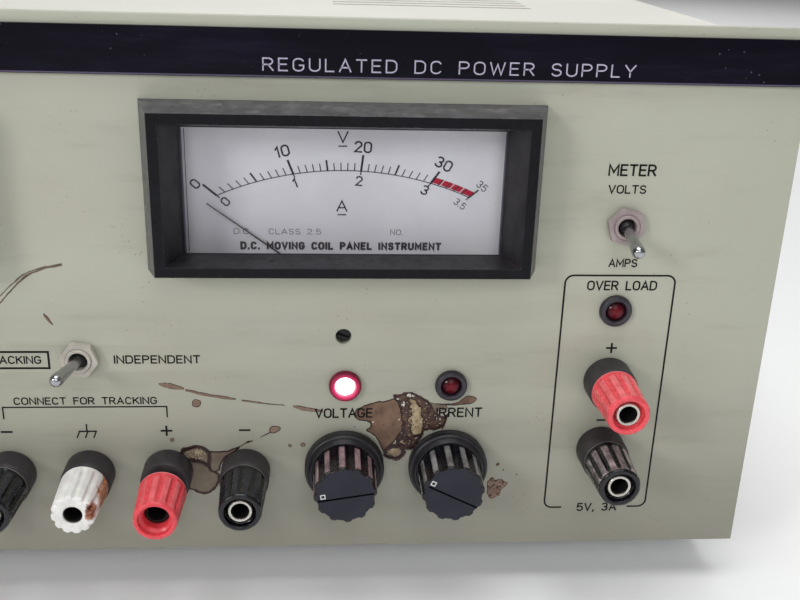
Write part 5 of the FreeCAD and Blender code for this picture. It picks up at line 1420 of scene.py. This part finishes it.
crust("crust_ring", STAINS["ring"], 0.01, 0.30, [M["crust_edge"], M["cream"], M["film_olive"]], ring_mix, 0.2, 21.0, 0.3)
ribbon("crust_ring_edge", ring, [0.62 + 0.6 * noise.noise(Vector((p[0] * 1.4, p[1] * 1.4, 2.7))) for p in ring], 0.0, 0.34, M["crust_edge"],
       closed=True, slot="panel_paint")
decal("stain_low_fill", STAINS["low_ring_fill"], 0.0, 0.015, M["film_olive"], 0.1)
lw = smooth_loop(xy(STAINS["low_ring_line"]), 0.12, 4)
ribbon("stain_low_ring", lw, [0.66 + 0.35 * noise.noise(Vector((p[0], p[1], 0))) for p in lw], 0.0, 0.045, M["film_rim"], closed=True,
       slot="panel_paint")
low = smooth_loop(xy(STAINS["low_crust"]), 0.15, 3)


def low_mix(x, z):
    a = noise.noise(Vector((x * 2.1, z * 2.1, 7.0))) + 0.5 * noise.noise(Vector((x * 5.0, z * 5.0, 3.0)))
    d = edge_dist((x, z), low)
    if d < 0.6 + 0.5 * a:
        return 0
    return 2 if a > 0.32 else (0 if a < -0.45 else 1)


crust("crust_low", STAINS["low_crust"], 0.01, 0.28, [M["crust_edge"], M["film_olive"], M["cream"]], low_mix, 0.18, 3.0, 0.15)
ribbon("crust_low_edge", low, [0.50 + 0.5 * noise.noise(Vector((p[0] * 1.4, p[1] * 1.4, 5.7))) for p in low], 0.0, 0.30, M["crust_edge"],
       closed=True, slot="panel_paint")
crust("crust_low_cream", STAINS["low_cream"], 0.03, 0.32, [M["cream"]], lambda x, z: 0, 0.26, 8.0, 0.12)
decal("stain_neck", STAINS["neck"], 0.0, 0.02, M["film_olive"], 0.12, M["film_rim"], 0.42)
stroke("stain_neck_line", STAINS["neck_line"], 0.0, 0.05, M["film_rim"], 0.08)
stroke("stain_tail", STAINS["tad_tail"], 0.0, 0.05, M["film_rim"], 0.06)
decal("stain_tad", STAINS["tad_head"], 0.0, 0.02, M["streak"], 0.08, M["film_rim"], 0.22)
for k in ("streak1", "streak2", "streak3", "streak4", "small_leaf"):
    stroke("stain_" + k, STAINS[k], 0.0, 0.02, M["streak"], 0.10)
    thin = [(x, z + w * 0.42, 0.21) for x, z, w in STAINS[k]]
    stroke("stain_edge_" + k, thin, 0.0, 0.03, M["film_rim"], 0.06)
    thin = [(x, z - w * 0.42, 0.17) for x, z, w in STAINS[k]]
    stroke("stain_under_" + k, thin, 0.0, 0.03, M["film_rim_soft"], 0.06)
for k in ("arc_a", "arc_b"):
    stroke("stain_" + k, STAINS[k], 0.0, 0.02, M["film_rim_soft"], 0.12)


def blot(name, x, z, d, y, thick, mat, seed, rim=None):
    pts = []
    for i in range(10):
        a = 2 * math.pi * i / 10
        r = d / 2 * (0.8 + 0.35 * noise.noise(Vector((math.cos(a) + seed, math.sin(a), seed * 1.7))))
        pts.append((x + r * math.cos(a), z + r * math.sin(a)))
    return decal(name, pts, y, thick, mat, 0.03, rim, 0.16, 3)


for i, (x, z, d) in enumerate(STAINS["flakes"]):
    pts = ring_pts(x, z, d * 0.55, 7)
    crust("flake_%d" % i, pts, 0.02, 0.55, [M["flake"]], lambda x, z: 0, max(0.16, d * 0.16), 11.0 + i, d * 0.22)
for i, (x, z, d) in enumerate(STAINS["right_dots"]):
    blot("spot_r_%d" % i, x, z, d, 0.0, 0.03, M["crust"] if d > 0.5 else M["film_rim"], 20.0 + i)
for i, (x, z, d) in enumerate(STAINS["dots"]):
    blot("spot_d_%d" % i, x, z, d, 0.0, 0.02, M["streak"], 40.0 + i, M["film_rim"])
# fine debris round the crust
for i in range(46):
    a = rng.uniform(0, 2 * math.pi)
    r = abs(rng.gauss(0, 1)) * 5.2
    x, z = 81 + r * math.cos(a) * 1.3, 49.5 + r * math.sin(a) * 1.0
    blot("speck_%02d" % i, x, z, rng.uniform(0.2, 0.55), 0.0, rng.uniform(0.03, 0.12), M["flake"] if rng.random() < 0.3 else M["crust"], 60.0 + i)

# ---------------------------------------------------------------- remaining CAD nodes: finishes and softened edges
FINISH = {
    "nameplate_strip": ("strip", 0.25), "top_cover": ("case", 0.5), "bottom_plate": ("alu", 0.3), "side_panels": ("case", 0.4),
    "rear_panel": ("case", 0.4), "frame_rails": ("alu", 0.3), "case_screws": ("zinc", 0.25), "transformer_core": ("core", 0.6),
    "transformer_coil": ("wrap", 0.6), "heatsinks": ("sink", 0.3), "power_semiconductors": ("black_part", 0.3),
    "regulator_board": ("board", 0.1), "filter_capacitors": ("sleeve", 0.0), "board_standoffs": ("nylon", 0.2),
    "meter_dials": ("dial", 0.0), "meter_housings": ("black_part", 0.6), "potentiometers": ("zinc", 0.2), "panel_nuts": ("chrome", 0.15),
    "power_switch_body": ("bezel", 0.25), "power_rocker": ("bezel", 0.25), "fuse_holder": ("bezel", 0.2), "fuse_cap": ("bezel", 0.2),
    "cord_bush": ("rubber", 0.3), "needle_left": ("dial_ink", 0.0), "needle_right": ("dial_ink", 0.0),
    "zero_screw_left": ("zinc", 0.0), "zero_screw_right": ("hole", 0.0),
}
for name, ob in NODES.items():
    if ob.hide_render or not ob.visible_get():
        continue
    key, edge = FINISH.get(name, (None, 0.0))
    if key is None:
        key, edge = ("zinc", 0.0) if name.startswith("shaft") else ("black_part", 0.0)
    ob.data.materials.clear()
    ob.data.materials.append(M[key])
    if edge:
        bevel(ob, edge, 2, 35)

UP, BACK, DOWN = turn(-90.0, (1, 0, 0)), turn(180.0, (0, 0, 1)), turn(90.0, (1, 0, 0))


def screw_mesh(head, high, shank, length):
    """Pan-head screw with a cross recess; the head's seat is at the origin and the head rises along -Y."""
    prof = [(0, -length), (shank * 0.6, -length), (shank, -length + shank * 0.5), (shank, 0.0), (head - 0.12, 0.0), (head, 0.12)]
    for k in range(1, 9):
        t = k / 8.0 * math.pi / 2
        prof.append((head - (head * 0.34) * (1 - math.cos(t)), 0.12 + (high - 0.12) * math.sin(t)))
    prof += [(head * 0.3, high), (0, high)]
    v, f = lathe(prof, 56)
    me = bpy.data.meshes.new("screw")
    me.from_pydata(v, [], f)
    a = bpy.data.objects.new("tmp_screw", me)
    scene.collection.objects.link(a)
    w, l, d = 0.42, head * 0.56, high * 0.62
    cv, cf = [], []
    for ang in (0, 90):
        c, sn = math.cos(math.radians(ang)), math.sin(math.radians(ang))
        b = len(cv)
        for h, k in ((high + 0.6, 1.25), (high - d, 0.35)):
            for u, t in ((-l * k, -w), (l * k, -w), (l * k, w), (-l * k, w)):
                cv.append(((u * c - t * sn) * 1e-3, -h * 1e-3, (u * sn + t * c) * 1e-3))
        cf += [(b, b + 1, b + 2, b + 3), (b + 7, b + 6, b + 5, b + 4)] + [(b + i, b + 4 + i, b + 4 + (i + 1) % 4, b + (i + 1) % 4)
                                                                       for i in range(4)]
    cm = bpy.data.meshes.new("recess")
    cm.from_pydata(cv, [], cf)
    bm = bmesh.new()
    bm.from_mesh(cm)
    bmesh.ops.recalc_face_normals(bm, faces=bm.faces)
    bm.to_mesh(cm)
    bm.free()
    b = bpy.data.objects.new("tmp_recess", cm)
    scene.collection.objects.link(b)
    bm = bmesh.new()
    bm.from_mesh(me)
    bmesh.ops.recalc_face_normals(bm, faces=bm.faces)
    bm.to_mesh(me)
    bm.free()
    md = a.modifiers.new("recess", "BOOLEAN")
    md.object = b
    md.operation = "DIFFERENCE"
    md.solver = "EXACT"
    md.use_self = True
    dg = bpy.context.evaluated_depsgraph_get()
    ev = a.evaluated_get(dg)
    out = bpy.data.meshes.new_from_object(ev)
    verts = [tuple(p.co) for p in out.vertices]
    faces = [tuple(p.vertices) for p in out.polygons]
    bpy.data.objects.remove(a)
    bpy.data.objects.remove(b)
    return verts, faces


small = screw_mesh(3.0, 1.8, 1.45, 8.0)
footscrew = screw_mesh(4.0, 2.0, 1.9, 11.0)
for i, (sx, y) in enumerate([(sx, y) for sx in (-1, 1) for y in (20.0, 145.0, 270.0)]):
    piece("cover_screw_%d" % i, *small, M["zinc"], at=P(sx * 159.4, y, 140.0), rot=UP @ turn(17.0 + 31 * i), smooth=35, slot="zinc_steel")
for i, (sx, z) in enumerate([(sx, z) for sx in (-1, 1) for z in (17.5, 134.8)]):
    piece("rear_screw_%d" % i, *small, M["zinc"], at=P(sx * 159.4, 290.0, z), rot=BACK @ turn(11.0 + 37 * i), smooth=35, slot="zinc_steel")
foot_prof = [(2.2, 5.0), (4.6, 5.0), (4.6, 0.35), (4.75, 0.08), (5.0, 0.0), (7.8, 0.0), (8.1, 0.15), (8.25, 0.5), (9.42, 11.5), (9.3, 11.9), (9.0, 12.0), (2.2, 12.0)]
for i, (sx, y) in enumerate([(sx, y) for sx in (-1, 1) for y in (42.0, 255.0)]):
    piece("foot_%d" % i, *lathe(foot_prof, 72, ring=True), M["rubber"], at=P(sx * 138.0, y, 0.0), rot=UP, smooth=35, slot="rubber_black")
    piece("foot_screw_%d" % i, *footscrew, M["zinc"], at=P(sx * 138.0, y, 5.0), rot=DOWN @ turn(23.0 * i), smooth=35, slot="zinc_steel")
for i, (x, z) in enumerate([(sx * 42.0, z) for sx in (-1, 1) for z in (6.5, 73.5)]):
    bolt = [(0, -25.0), (3.8, -25.0), (3.8, -22.0), (2.0, -22.0), (2.0, 22.0), (3.8, 22.0), (3.8, 25.0), (0, 25.0)]
    piece("clamp_bolt_%d" % i, *lathe(bolt, 6), M["zinc"], at=P(-78.0 + x, 180.0, 13.5 + z), slot="zinc_steel")
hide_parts("case_screws")
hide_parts("rubber_feet")

# ---------------------------------------------------------------- stage, light and camera
floor = bpy.data.meshes.new("floor")
floor.from_pydata([(-6, -6, -0.0005), (6, -6, -0.0005), (6, 6, -0.0005), (-6, 6, -0.0005)], [], [(0, 1, 2, 3)])
floor_ob = bpy.data.objects.new("floor", floor)
scene.collection.objects.link(floor_ob)
gm = Graph("stage_paper")
gm.set(color=lin(252, 252, 252), rough=0.9, spec=0.1)
floor.materials.append(gm.mat)


def area(name, loc, target, size, power, color=(1, 1, 1), size_y=None):
    li = bpy.data.lights.new(name, "AREA")
    li.energy = power
    li.color = color
    li.shape = "RECTANGLE"
    li.size = size
    li.size_y = size_y or size
    ob = bpy.data.objects.new(name, li)
    ob.location = loc
    ob.rotation_euler = (Vector(target) - Vector(loc)).to_track_quat("-Z", "Y").to_euler()
    scene.collection.objects.link(ob)
    return ob


area("key", (-1.60, -1.70, 0.98), (0.03, -0.15, 0.08), 0.55, 16.5, (1.0, 0.995, 0.99))
area("front_soft", (0.07, -0.98, 0.56), (0.05, -0.15, 0.07), 0.7, 2.25, (0.99, 1.0, 1.01), 0.6)
area("ceiling", (0.0, -0.30, 1.35), (0.03, -0.12, 0.10), 0.9, 10.0, (0.97, 0.985, 1.0), 0.7)
area("rear_soft", (0.2, 1.3, 1.2), (0, 0, 0.1), 1.6, 12.0)
world = bpy.data.worlds.new("studio")
world.use_nodes = True
bg = world.node_tree.nodes["Background"]
bg.inputs["Color"].default_value = (1.0, 1.0, 1.0, 1)
bg.inputs["Strength"].default_value = 0.17
scene.world = world

cam = bpy.data.cameras.new("camera")
cam.lens = 45.2
cam.sensor_width = 36.0
cam.clip_start = 0.01
cam.clip_end = 30
cob = bpy.data.objects.new("camera", cam)
m = Matrix(((0.99709934, -0.00218263, -0.0760798, 0.05736), (-0.07010294, 0.36292257, -0.92917856, -0.36885),
            (0.02963913, 0.93181675, 0.36171684, 0.16670), (0, 0, 0, 1)))
cob.matrix_world = m
scene.collection.objects.link(cob)
scene.camera = cob
